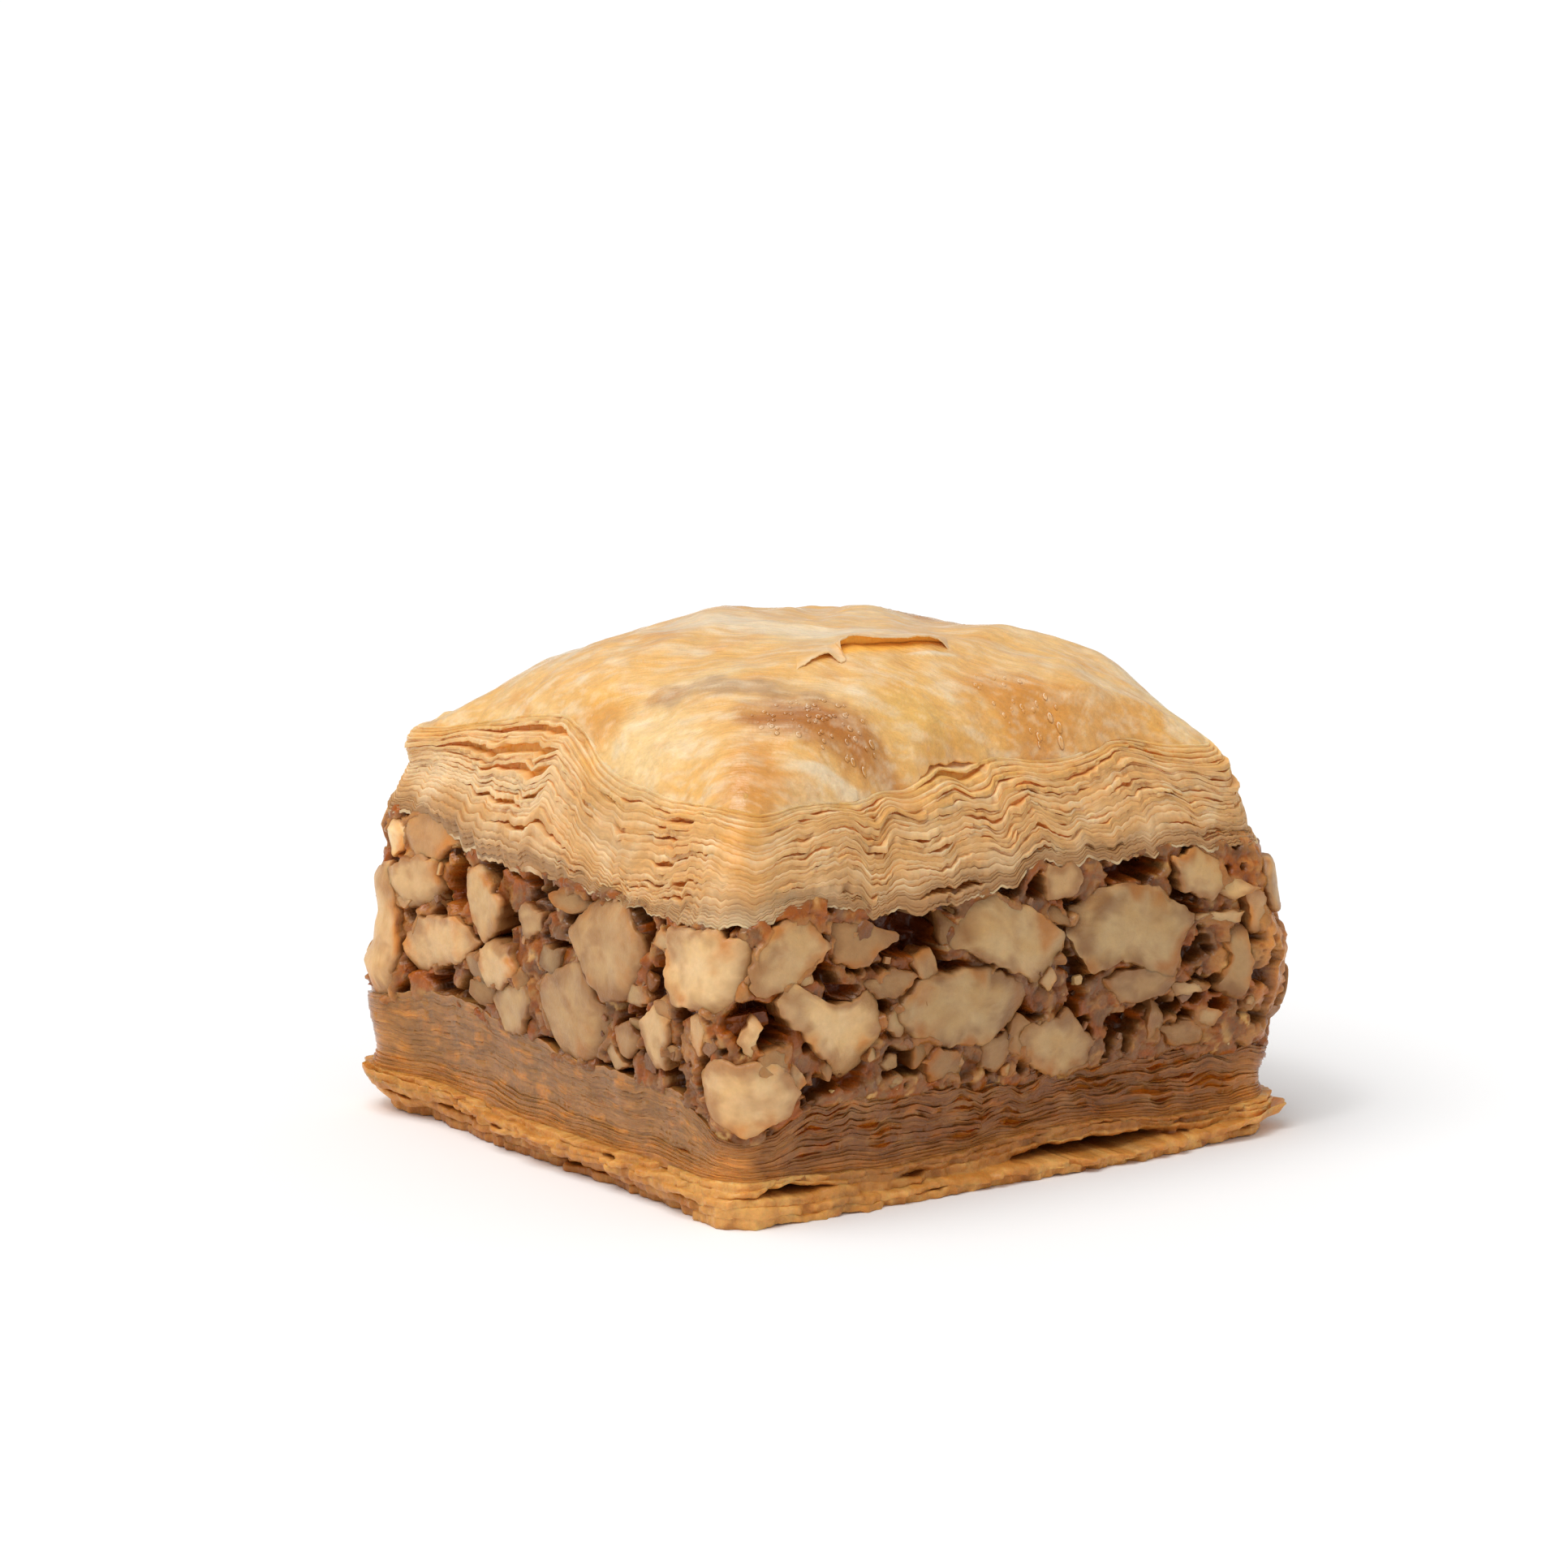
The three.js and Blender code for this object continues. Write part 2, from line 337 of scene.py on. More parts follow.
def dome_height(x, y, rim, rise):
    """Height of the top leaf."""
    z0 = 0 * x
    across = (x + 2.54) * 0.8016 - (y - 1.13) * 0.5979
    behind = (x + 2.54) * 0.5979 + (y - 1.13) * 0.8016
    back = np.exp(-((behind - 5) / 9) ** 2)
    crown = DOME_TOP + 0.6 * fbm(stack3(x, y, z0), 13, 2, 21)
    crown = crown + back * (0.75 * np.exp(-((across + 5.4) / 3.0) ** 2) - 0.35 * np.exp(-((across - 3.0) / 2.0) ** 2)
                            - 0.80 * np.exp(-((across - 11.0) / 4.0) ** 2))
    h = rim * (1 - rise) + crown * rise
    body = smooth(0.0, 0.40, rise)
    # broad swells, then blisters between the leaves
    h = h + body * 0.55 * fbm(stack3(x, y, z0), 6.5, 2, 22)
    blister = fbm(stack3(x, y, z0 + 9), 3.4, 2, 23)
    calm = smooth(0.0, 0.06, rise)
    h = h + calm * (0.25 + 0.75 * body) * 0.30 * np.maximum(blister, -0.15)
    # folds that run down to the right, and the raised band above the near edge
    h = h + 0.50 * crest_line(x, y, 5.5, -16.3, 21.5, -18.3, 0.8)
    h = h + 0.30 * crest_line(x, y, 9.0, -12.3, 20.5, -15.3, 0.6)
    h = h + 0.36 * crest_line(x, y, -16.6, -18.2, -11.2, -20.1, 0.42)
    h = h + 0.14 * crest_line(x, y, -0.8, -11.2, 4.4, -12.1, 0.30)
    h = h + 0.42 * crest_line(x, y, -21.0, 0.5, -20.6, -10.0, 0.7)
    h = h - 0.45 * np.exp(-((x + 11.5) / 4.2) ** 2 - ((y + 12.5) / 2.6) ** 2)
    h = h - 0.35 * np.exp(-((x - 5.0) / 5.0) ** 2 - ((y + 14.0) / 2.4) ** 2)
    # parchment wrinkles: fine, long, and in drifts
    u = 0.70 * x - 0.71 * y
    v = 0.71 * x + 0.70 * y
    drift = smooth(-0.15, 0.45, fbm(stack3(x, y, z0 + 4), 7, 2, 24))
    bend = 0.9 * perlin(stack3(x / 6, y / 6, z0 + 2), 28)
    wr = perlin(stack3(u / 3.6, (v + bend) / 0.75, h / 0.9), 25)
    wr2 = perlin(stack3(u / 1.6, (v + bend) / 0.42, h / 0.5 + 3), 26)
    h = h + (0.2 + 0.8 * calm) * (0.2 + 0.8 * drift) * (0.12 * (1 - np.abs(wr)) + 0.045 * wr2)
    return h


# -------------------------------------------------------------- mesh helpers
def add_mesh(name, verts, quads=None, tris=None, colour=None, wet=None, material=None, sharp=None, flow=None):
    """A mesh object from arrays: millimetres in, metres out. `flow` follows the leaves, in leaf pitches along Z."""
    me = bpy.data.meshes.new(name)
    verts = np.asarray(verts, F32).reshape(-1, 3)
    parts, starts, at = [], [], 0
    for faces, k in ((quads, 4), (tris, 3)):
        if faces is not None and len(faces):
            faces = np.asarray(faces, np.int32).reshape(-1, k)
            parts.append(faces.ravel())
            starts.append(at + k * np.arange(len(faces), dtype=np.int32))
            at += faces.size
    loops, starts = np.concatenate(parts), np.concatenate(starts)
    me.vertices.add(len(verts))
    me.vertices.foreach_set("co", (verts * MM).ravel())
    me.loops.add(len(loops))
    me.loops.foreach_set("vertex_index", loops)
    me.polygons.add(len(starts))
    me.polygons.foreach_set("loop_start", starts)
    me.polygons.foreach_set("use_smooth", np.ones(len(starts), bool))
    me.update(calc_edges=True)
    if sharp is not None:
        me.set_sharp_from_angle(angle=math.radians(sharp))
    if colour is not None:
        c = np.ones((len(verts), 4), F32)
        c[:, :3] = np.clip(np.asarray(colour, F32).reshape(-1, 3), 0, 1)
        me.color_attributes.new("Col", "FLOAT_COLOR", "POINT").data.foreach_set("color", c.ravel())
    w = np.zeros(len(verts), F32) if wet is None else np.asarray(wet, F32).ravel()
    me.attributes.new("wet", "FLOAT", "POINT").data.foreach_set("value", w)
    fl = verts if flow is None else np.asarray(flow, F32).reshape(-1, 3)
    me.attributes.new("flow", "FLOAT_VECTOR", "POINT").data.foreach_set("vector", np.ascontiguousarray(fl).ravel())
    obj = bpy.data.objects.new(name, me)
    bpy.context.collection.objects.link(obj)
    if material is not None:
        me.materials.append(material)
    return obj


def grid_faces(rows, n, closed=True):
    """Quads of a (rows, n) grid, facing out where s runs round and rows run up."""
    i = np.arange(n if closed else n - 1)
    j = (i + 1) % n
    r = np.arange(rows - 1)[:, None] * n
    return np.stack([r + i, r + j, r + n + j, r + n + i], axis=-1).reshape(-1, 4)


def fan(ring_start, n, hub, up):
    i = ring_start + np.arange(n)
    j = ring_start + (np.arange(n) + 1) % n
    h = np.full(n, hub)
    return np.stack([i, j, h] if up else [j, i, h], axis=-1)


def sphere(freq):
    """A ball of triangles: the icosahedron with each edge cut in `freq`."""
    t = (1 + 5 ** 0.5) / 2
    v = np.array([(-1, t, 0), (1, t, 0), (-1, -t, 0), (1, -t, 0), (0, -1, t), (0, 1, t), (0, -1, -t), (0, 1, -t),
                  (t, 0, -1), (t, 0, 1), (-t, 0, -1), (-t, 0, 1)], float)
    f = [(0, 11, 5), (0, 5, 1), (0, 1, 7), (0, 7, 10), (0, 10, 11), (1, 5, 9), (5, 11, 4), (11, 10, 2), (10, 7, 6),
         (7, 1, 8), (3, 9, 4), (3, 4, 2), (3, 2, 6), (3, 6, 8), (3, 8, 9), (4, 9, 5), (2, 4, 11), (6, 2, 10),
         (8, 6, 7), (9, 8, 1)]
    pts, tris, seen = [], [], {}

    def at(p):
        key = tuple(np.round(p, 6))
        if key not in seen:
            seen[key] = len(pts)
            pts.append(p)
        return seen[key]

    for a, b, c in f:
        rows = []
        for i in range(freq + 1):
            rows.append([at(v[a] + (v[b] - v[a]) * (i - j) / freq + (v[c] - v[a]) * j / freq) for j in range(i + 1)])
        for i in range(freq):
            for j in range(i + 1):
                tris.append((rows[i][j], rows[i + 1][j], rows[i + 1][j + 1]))
                if j < i:
                    tris.append((rows[i][j], rows[i + 1][j + 1], rows[i][j + 1]))
    pts = np.array(pts)
    pts /= np.linalg.norm(pts, axis=1, keepdims=True)
    tris = np.array(tris, np.int32)
    a, b, c = pts[tris[:, 0]], pts[tris[:, 1]], pts[tris[:, 2]]
    if np.mean(np.sum(np.cross(b - a, c - a) * a, axis=1)) < 0:
        tris = tris[:, ::-1]
    return pts, tris


SPHERES = {k: sphere(k) for k in (3, 5, 6, 9, 13)}


# ------------------------------------------------------------------ materials
def material(name, rough=(0.4, 0.6), wet_rough=0.12, grain=((0.35, 0.03), (0.12, 0.015)), tint=0.10, specks=0.0,
             sss=0.25, radius=(1.0, 0.45, 0.2), scale_mm=0.8, coat=0.0, coat_rough=0.1, spec=0.3,
             speck_colour=(120, 70, 30), flow=()):
    """Painted by the mesh's own colours, with fine procedural grain, and with
    streaks that run along the leaves: (length, width in leaves, tint, depth)."""
    m = bpy.data.materials.new(name)
    m.use_nodes = True
    nt = m.node_tree
    for n in list(nt.nodes):
        nt.nodes.remove(n)
    new, link = nt.nodes.new, nt.links.new
    out = new("ShaderNodeOutputMaterial")
    bsdf = new("ShaderNodeBsdfPrincipled")
    link(bsdf.outputs["BSDF"], out.inputs["Surface"])
    co = new("ShaderNodeTexCoord")
    fl = new("ShaderNodeAttribute")
    fl.attribute_name = "flow"

    def noise(size_mm, detail=3.0, rough_=0.6):
        n = new("ShaderNodeTexNoise")
        n.inputs["Scale"].default_value = 1000.0 / size_mm
        n.inputs["Detail"].default_value = detail
        n.inputs["Roughness"].default_value = rough_
        link(co.outputs["Object"], n.inputs["Vector"])
        return n

    def streak(length, width, detail=2.0):
        mp = new("ShaderNodeMapping")
        mp.inputs["Scale"].default_value = (1 / length, 1 / length, 1 / width)
        link(fl.outputs["Vector"], mp.inputs["Vector"])
        n = new("ShaderNodeTexNoise")
        n.inputs["Scale"].default_value = 1.0
        n.inputs["Detail"].default_value = detail
        n.inputs["Roughness"].default_value = 0.55
        link(mp.outputs["Vector"], n.inputs["Vector"])
        return n

    def ranged(socket, lo, hi, to_lo, to_hi):
        r = new("ShaderNodeMapRange")
        r.inputs["From Min"].default_value = lo
        r.inputs["From Max"].default_value = hi
        r.inputs["To Min"].default_value = to_lo
        r.inputs["To Max"].default_value = to_hi
        link(socket, r.inputs["Value"])
        return r.outputs["Result"]

    col = new("ShaderNodeAttribute")
    col.attribute_name = "Col"
    colour = col.outputs["Color"]
    lines = [(streak(a, b), tint_, depth) for a, b, tint_, depth in flow]
    # fine mottling, at two sizes, then the streaks
    parts = [(noise(1.6), tint), (noise(0.35), tint * 0.8)] + [(n, t_) for n, t_, _ in lines]
    for n, amount in parts:
        v = ranged(n.outputs["Fac"], 0.3, 0.7, 1 - amount, 1 + amount)
        mul = new("ShaderNodeVectorMath")
        mul.operation = "MULTIPLY"
        link(colour, mul.inputs[0])
        link(v, mul.inputs[1])
        colour = mul.outputs["Vector"]
    if specks:
        n = noise(0.55, 2.0)
        v = ranged(n.outputs["Fac"], 0.66, 0.74, 0.0, specks)
        mx = new("ShaderNodeMix")
        mx.data_type = "RGBA"
        link(v, mx.inputs["Factor"])
        link(colour, mx.inputs["A"])
        mx.inputs["B"].default_value = (*lin(*speck_colour), 1)
        colour = mx.outputs["Result"]
    link(colour, bsdf.inputs["Base Color"])
    # roughness: uneven, and low where the syrup lies
    n = noise(0.9)
    r = ranged(n.outputs["Fac"], 0.3, 0.7, rough[0], rough[1])
    wet = new("ShaderNodeAttribute")
    wet.attribute_name = "wet"
    mx = new("ShaderNodeMix")
    mx.data_type = "FLOAT"
    link(wet.outputs["Fac"], mx.inputs["Factor"])
    link(r, mx.inputs["A"])
    mx.inputs["B"].default_value = wet_rough
    link(mx.outputs["Result"], bsdf.inputs["Roughness"])
    # grain
    normal = None
    heights = [(n.outputs["Fac"], d) for n, _, d in lines if d] + [(noise(sz, 2.0).outputs["Fac"], d) for sz, d in grain]
    for height, depth in heights:
        b = new("ShaderNodeBump")
        b.inputs["Strength"].default_value = 1.0
        b.inputs["Distance"].default_value = depth * MM
        link(height, b.inputs["Height"])
        if normal is not None:
            link(normal, b.inputs["Normal"])
        normal = b.outputs["Normal"]
    if normal is not None:
        link(normal, bsdf.inputs["Normal"])
    bsdf.inputs["Subsurface Weight"].default_value = sss
    bsdf.inputs["Subsurface Radius"].default_value = radius
    bsdf.inputs["Subsurface Scale"].default_value = scale_mm * MM
    bsdf.inputs["Specular IOR Level"].default_value = spec
    bsdf.inputs["Coat Weight"].default_value = coat
    bsdf.inputs["Coat Roughness"].default_value = coat_rough
    return m


FILO_TOP = material("baked_filo", rough=(0.30, 0.46), wet_rough=0.14, grain=((0.55, 0.05), (0.16, 0.016)), tint=0.05,
                    sss=0.10, scale_mm=0.8, coat=0.40, coat_rough=0.13, spec=0.38,
                    flow=((2.6, 0.42, 0.06, 0.12), (1.1, 0.16, 0.05, 0.04)))
FILO_SHRED = material("torn_filo", rough=(0.32, 0.48), wet_rough=0.12, grain=((0.4, 0.02),), tint=0.05, sss=0.0, coat=0.35,
                      coat_rough=0.12, spec=0.35, flow=((2.6, 0.42, 0.06, 0.05),))
FILO_EDGE = material("filo_edges", rough=(0.40, 0.58), wet_rough=0.2, grain=((0.4, 0.03), (0.12, 0.014)), tint=0.05,
                     sss=0.38, radius=(1.0, 0.60, 0.32), scale_mm=0.9, coat=0.08, coat_rough=0.25,
                     flow=((2.2, 0.42, 0.09, 0.06), (0.8, 0.17, 0.07, 0.03)))
FILO_SOAKED = material("soaked_filo", rough=(0.26, 0.42), wet_rough=0.10, grain=((0.4, 0.03), (0.13, 0.012)), tint=0.08,
                       sss=0.40, scale_mm=0.9, coat=0.12, coat_rough=0.14, spec=0.35,
                       flow=((2.4, 0.55, 0.20, 0.12), (1.0, 0.24, 0.16, 0.06)))
CRUST = material("bottom_crust", rough=(0.36, 0.54), wet_rough=0.2, grain=((0.5, 0.12), (0.17, 0.045)), tint=0.10,
                 specks=0.18, sss=0.40, scale_mm=0.9, coat=0.12, coat_rough=0.2)
WALNUT = material("walnut_meat", rough=(0.36, 0.52), wet_rough=0.2, grain=((0.55, 0.08), (0.17, 0.035)), tint=0.045,
                  sss=0.45, radius=(1.0, 0.6, 0.32), scale_mm=1.1, coat=0.06, coat_rough=0.25)
PASTE = material("walnut_paste", rough=(0.26, 0.46), wet_rough=0.10, grain=((0.8, 0.12), (0.25, 0.06)), tint=0.12,
                 specks=0.18, sss=0.25, radius=(1.0, 0.5, 0.22), scale_mm=0.8, coat=0.10, coat_rough=0.12, spec=0.30,
                 speck_colour=(194, 144, 92))


# ------------------------------------------------------------- leafy stacks
def leafy_wall(name, n, leaves, z_low, z_high, stand, wave, loose, gaps, paint, mat, seed, share=None, fuse=None,
               jitter=0.16, ragged=0.09, tabs=0.45, tail=(), hair=(0.04, 0.34), depth=(0.02, 0.85), gain=1.8):
    """A stack of thin leaves, cut through: each leaf has its own edge, standing
    a little in or out of its neighbours, with a slit above it that is a
    hairline where the stack is pressed and a pocket where it has opened.
    Where the cut has smeared the leaves together, `fuse` closes the slits."""
    s = lap_points(n, gain)
    k = np.arange(leaves)[:, None]
    f = (k + 0.5) / leaves                       # height in the stack, 0 to 1
    foot, _ = ring(s)
    x, y = foot[:, 0], foot[:, 1]
    rng = np.random.default_rng(seed)
    own = rng.normal(size=(leaves, 1))           # each leaf is its own

    stuck = np.clip(fuse(s, f), 0, 1) if fuse else 0 * f
    opened = smooth(-0.05, 0.62, perlin(stack3(x / 4.0, y / 4.0, k * 0.83), seed) + 0.10 * own
                    + 0.30 * perlin(stack3(x / 1.5, y / 1.5, k * 1.7), seed + 11))
    opened = np.clip(loose(s, f) * opened, 0, 1.2) * (1 - stuck)
    lo, hi = z_low(s), z_high(s)
    H = hi - lo
    pitch = H / leaves
    slit = pitch * mix(hair[0], hair[1], opened) * (1 - 0.7 * stuck)
    deep = mix(depth[0], depth[1], opened ** 1.3) * (0.85 + 0.5 * perlin(stack3(x / 1.9, y / 1.9, k * 3.1), seed + 1))
    deep = np.clip(deep, 0.01, None) * (1 - 0.85 * stuck)
    parted = np.zeros_like(deep)
    for kk, s0, s1, high, skew, down in gaps:
        t = (s - s0) / (s1 - s0)
        opening = np.clip(np.sin(0.5 * math.pi * np.clip(t / skew, 0, 1)), 0, 1) ** 1.3
        closing = np.clip(np.cos(0.5 * math.pi * np.clip((t - skew) / (1 - skew), 0, 1)), 0, 1) ** 0.6
        lens = np.where(t < skew, opening, closing) * ((t > 0) & (t < 1))
        lens = np.clip(lens * (1 + (0.30 if down < 0.9 else 0.12) * round_noise(s, 1.2, kk, seed + 2)), 0, None)
        slit[kk] += high * lens
        deep[kk] += down * lens ** 0.6
        for j in (kk, min(kk + 1, leaves - 1)):
            parted[j] = np.maximum(parted[j], np.minimum(lens, 1) ** 0.5)
    slit[-1] = 0
    w = np.exp(0.30 * own + 0.50 * perlin(stack3(x / 5.5, y / 5.5, k * 0.9), seed + 3))
    if share is not None:
        w = w * share(s, f)
    thick = np.clip(H - slit.sum(0), 0.35 * H, None) * w / w.sum(0)
    total = thick.sum(0) + slit.sum(0)
    thick, slit = thick * H / total, slit * H / total
    z_bot = lo + np.cumsum(thick + slit, 0) - thick - slit
    z_top = z_bot + thick

    def lift(z):
        return wave(s, np.clip((z - lo) / H, 0, 1))

    free = (0.30 + np.clip(opened, 0, 1)) * (1 - 0.75 * stuck) + 0.9 * parted    # an edge that is not pressed can wander
    rag = ragged * (perlin(stack3(x / 0.8, y / 0.8, k * 5.3), seed + 4) + 0.9 * perlin(stack3(x / 0.33, y / 0.33, k * 3.7), seed + 5))
    shift = jitter * (perlin(stack3(x / 2.4, y / 2.4, k * 1.9), seed + 6) + 0.5 * own)
    tab = tabs * np.maximum(perlin(stack3(x / 3.6, y / 3.6, k * 1.37), seed + 7) - 0.22, 0)
    bite = 0.55 * np.maximum(perlin(stack3(x / 1.2, y / 1.2, k * 2.3), seed + 8) - 0.40, 0)
    z_plain = lo + H * f
    out = stand(s, z_plain, f) + (rag + shift + tab - bite) * free
    droop = 0.07 * free * perlin(stack3(x / 0.9, y / 0.9, k * 4.1), seed + 9)
    curl = (0.07 + 0.10 * perlin(stack3(x / 2.0, y / 2.0, k * 2.7), seed + 10)) * np.clip(free, 0, 1)

    rows = []                                    # z, offset, height in stack, depth, which row of a leaf, leaf
    for i in range(leaves):
        rows.append((z_bot[i] + droop[i], out[i] - 0.02 - np.maximum(curl[i], 0), (i + 0.1) / leaves, 0.0, 0, i))
        rows.append((z_top[i] + droop[i], out[i] + np.minimum(curl[i], 0), (i + 0.8) / leaves, 0.0, 1, i))
        if i < leaves - 1:
            back = np.minimum(out[i], out[i + 1]) - deep[i]
            rows.append((z_top[i] + 0.12 * slit[i], back, (i + 0.9) / leaves, deep[i], 2, i))
            rows.append((z_top[i] + 0.80 * slit[i], back + 0.12 * deep[i], (i + 1.0) / leaves, deep[i], 3, i))
    z = np.array([r[0] for r in rows])
    z = z + lift(z)
    off = np.array([r[1] for r in rows])
    ff = np.array([r[2] for r in rows])[:, None] + 0 * z
    dp = np.array([r[3] + 0 * s for r in rows])
    kind = np.array([r[4] for r in rows])[:, None]
    leaf = np.array([r[5] for r in rows])[:, None]
    for dz, doff in tail:            # rows above the last leaf, hidden but for a tear
        z = np.vstack([z, z[-1] + dz])
        off = np.vstack([off, stand(s, hi[None], np.ones((1, 1))) + doff])
        ff, dp = np.vstack([ff, 1 + 0 * s]), np.vstack([dp, 0.0 + 0 * s])
        kind, leaf = np.vstack([kind, [[1]]]), np.vstack([leaf, [[leaves - 1]]])
    pts = wall(s, off, z)
    colour, wet = paint(s, pts, ff, dp, kind, leaf)
    flow = np.stack([np.broadcast_to(x, z.shape), np.broadcast_to(y, z.shape), ff * leaves], axis=-1)
    rows_n = len(z)
    inner_low = wall(s, off[:1] * 0 - 4.0, z[:1])
    ends = [[0, 0, float(z[0].mean())], [0, 0, float(z[-1].mean())]]
    verts = np.concatenate([inner_low.reshape(-1, 3), pts.reshape(-1, 3), ends])
    flow = np.concatenate([flow[:1].reshape(-1, 3), flow.reshape(-1, 3), ends])
    colour = np.concatenate([colour[:1].reshape(-1, 3), colour.reshape(-1, 3), colour[0, :1], colour[-1, :1]])
    wet = np.concatenate([wet[:1].ravel(), wet.ravel(), [0, 0]])
    quads = grid_faces(rows_n + 1, n)
    tris = np.concatenate([fan(0, n, (rows_n + 1) * n, False), fan(rows_n * n, n, (rows_n + 1) * n + 1, True)])
    return add_mesh(name, verts, quads, tris, colour, wet, mat, sharp=60, flow=flow)


def bump(s, a, b, soft=2.0):
    """1 between places a and b, easing off over `soft` mm."""
    s = np.mod(s, PER)
    return smooth(a - soft, a + soft, s) * smooth(b + soft, b - soft, s)


def near_corner(s, reach):
    s = np.mod(s, PER)
    return np.exp(-(np.minimum(s, PER - s) / reach) ** 2)


def spot(x, y, cx, cy, rx, ry, turn, ragged, seed, soft=0.60):
    """1 inside an uneven oval patch."""
    c, s_ = math.cos(turn), math.sin(turn)
    u = ((x - cx) * c + (y - cy) * s_) / rx
    v = (-(x - cx) * s_ + (y - cy) * c) / ry
    d = np.hypot(u, v) + ragged * fbm(stack3(x, y, 0 * x), 2.2, 3, seed)
    return smooth(1 + soft, 1 - soft, d)


# ---- the colours of the baked top, by place in the plan
C_TOP = lin(234, 180, 104)
C_TOP_PALE = lin(240, 204, 144)
C_TOP_MILK = lin(240, 216, 178)
C_TOP_YEL = lin(236, 176, 84)
C_TOP_SUN = lin(230, 180, 98)
C_TOP_AMBER = lin(178, 104, 26)
C_TOP_ORANGE = lin(216, 144, 60)
C_TOP_GREY = lin(182, 144, 104)
PATCHES = [
    # x, y, half-length, half-width, turn, raggedness, colour, strength
    (-15.5, -5.5, 5.0, 1.3, -0.4, 0.6, C_TOP_PALE, 0.7),
    (-6.5, 2.5, 5.5, 2.4, -1.0, 0.6, C_TOP_MILK, 0.85),
    (-2.5, -4.0, 5.0, 1.6, -0.7, 0.6, C_TOP_MILK, 0.75),
    (-20.2, -6.0, 1.9, 5.5, 0.1, 0.3, C_TOP_PALE, 0.7),
    (-19.8, -0.5, 1.6, 3.4, 0.2, 0.4, C_TOP_YEL, 0.85),
    (-20.6, -13.2, 2.6, 2.4, 0.3, 0.5, C_TOP_YEL, 0.35),
    (-20.8, -0.2, 1.1, 2.4, 0.2, 0.5, C_TOP_ORANGE, 0.55),
    (0.0, -13.6, 5.5, 1.3, -0.35, 0.6, C_TOP_YEL, 0.6),
    (-14.2, -9.0, 6.4, 1.2, -0.90, 1.0, C_TOP_GREY, 0.80),
    (-17.5, -4.4, 1.5, 0.8, -0.9, 0.9, C_TOP_AMBER, 0.40),
    (-19.6, -18.4, 2.8, 2.4, 0.5, 0.5, C_TOP_ORANGE, 0.85),
    (6.4, -17.2, 4.8, 2.6, -0.45, 0.6, C_TOP_ORANGE, 0.90),
    (14.0, -18.4, 4.8, 1.3, -0.10, 0.7, C_TOP_ORANGE, 0.50),
    (-12.9, -15.2, 4.4, 2.4, -0.62, 0.75, C_TOP_AMBER, 0.92),
    (-9.2, -18.0, 3.0, 1.3, -0.70, 0.8, C_TOP_AMBER, 0.60),
    (-3.6, -17.4, 3.0, 1.8, -0.60, 0.35, C_TOP_SUN, 0.95),
    (-13.9, -19.2, 3.0, 0.36, -0.34, 0.30, C_TOP_MILK, 0.80),
    (21.0, -15.0, 2.4, 4.5, 0.1, 0.6, C_TOP_PALE, 0.9),
    (9.0, -9.0, 5.5, 2.2, -0.4, 0.6, C_TOP_YEL, 0.5),
    (0.0, 14.0, 6.0, 3.4, 0.4, 0.5, C_TOP_ORANGE, 0.6),
    (13.0, 4.0, 3.5, 5.0, 0.2, 0.5, C_TOP_AMBER, 0.5),
    (-12.0, 15.0, 4.0, 2.6, 0.7, 0.5, C_TOP_MILK, 0.6),
    (17.0, 15.0, 3.4, 3.0, 0.0, 0.5, C_TOP_YEL, 0.7),
]


def top_colour(P):
    """Colour of the baked leaf and how wet it is, at points of its surface."""
    X, Y = P[..., 0], P[..., 1]
    col = blend(np.broadcast_to(C_TOP, P.shape), C_TOP_PALE, 0.75 * smooth(-0.15, 0.5, fbm(P, 9, 3, 161)))
    col = blend(col, C_TOP_YEL, 0.75 * smooth(0.0, 0.5, fbm(P, 7, 3, 162)))
    col = blend(col, C_TOP_ORANGE, 0.55 * smooth(0.10, 0.6, fbm(P, 5, 3, 160)))
    col = blend(col, C_TOP_MILK, 0.55 * smooth(0.15, 0.6, fbm(P * np.array([1, 1, 1.5], F32), 3, 3, 163)))
    wet = 0.3 * smooth(0.0, 0.6, fbm(P, 4, 2, 164))
    for i, (cx, cy, rx, ry, turn, rg, c, k) in enumerate(PATCHES):
        m = spot(X, Y, cx, cy, rx, ry, turn, rg, 170 + i, 0.45 if c is C_TOP_AMBER else 0.60)
        col = blend(col, c, k * m)
        if c is C_TOP_AMBER or c is C_TOP_ORANGE:
            wet = np.maximum(wet, 0.85 * m)
    # pale fibres and darker veins along the wrinkles
    U, V = 0.70 * X - 0.71 * Y, 0.71 * X + 0.70 * Y
    bend = 0.9 * perlin(stack3(X / 6, Y / 6, 0 * X + 2), 28)
    fibre = perlin(stack3(U / 2.6, (V + bend) / 0.5, P[..., 2] / 0.6), 167)
    vein = smooth(0.25, 0.6, perlin(stack3(U / 4.5, (V + bend) / 1.1, P[..., 2] / 1.2 + 7), 169))
    drift = perlin(stack3(U / 6.5, (V + 1.6 * bend) / 1.5, P[..., 2] / 1.6 + 3), 159)
    fine = perlin(stack3(U / 2.0, (V + bend) / 0.30, P[..., 2] / 0.35 + 5), 158)
    milky = 0.5 * smooth(0.05, 0.45, drift) * (0.45 + 0.55 * smooth(-0.3, 0.3, fine))
    col = blend(col, C_TOP_MILK, milky * (1 - 0.6 * wet))
    col = blend(col, C_TOP_MILK, 0.30 * smooth(0.10, 0.5, fibre))
    col = blend(col, C_TOP_ORANGE, 0.24 * vein)
    return col * (1 + 0.035 * fibre + 0.06 * fbm(P, 1.0, 2, 168))[..., None], wet


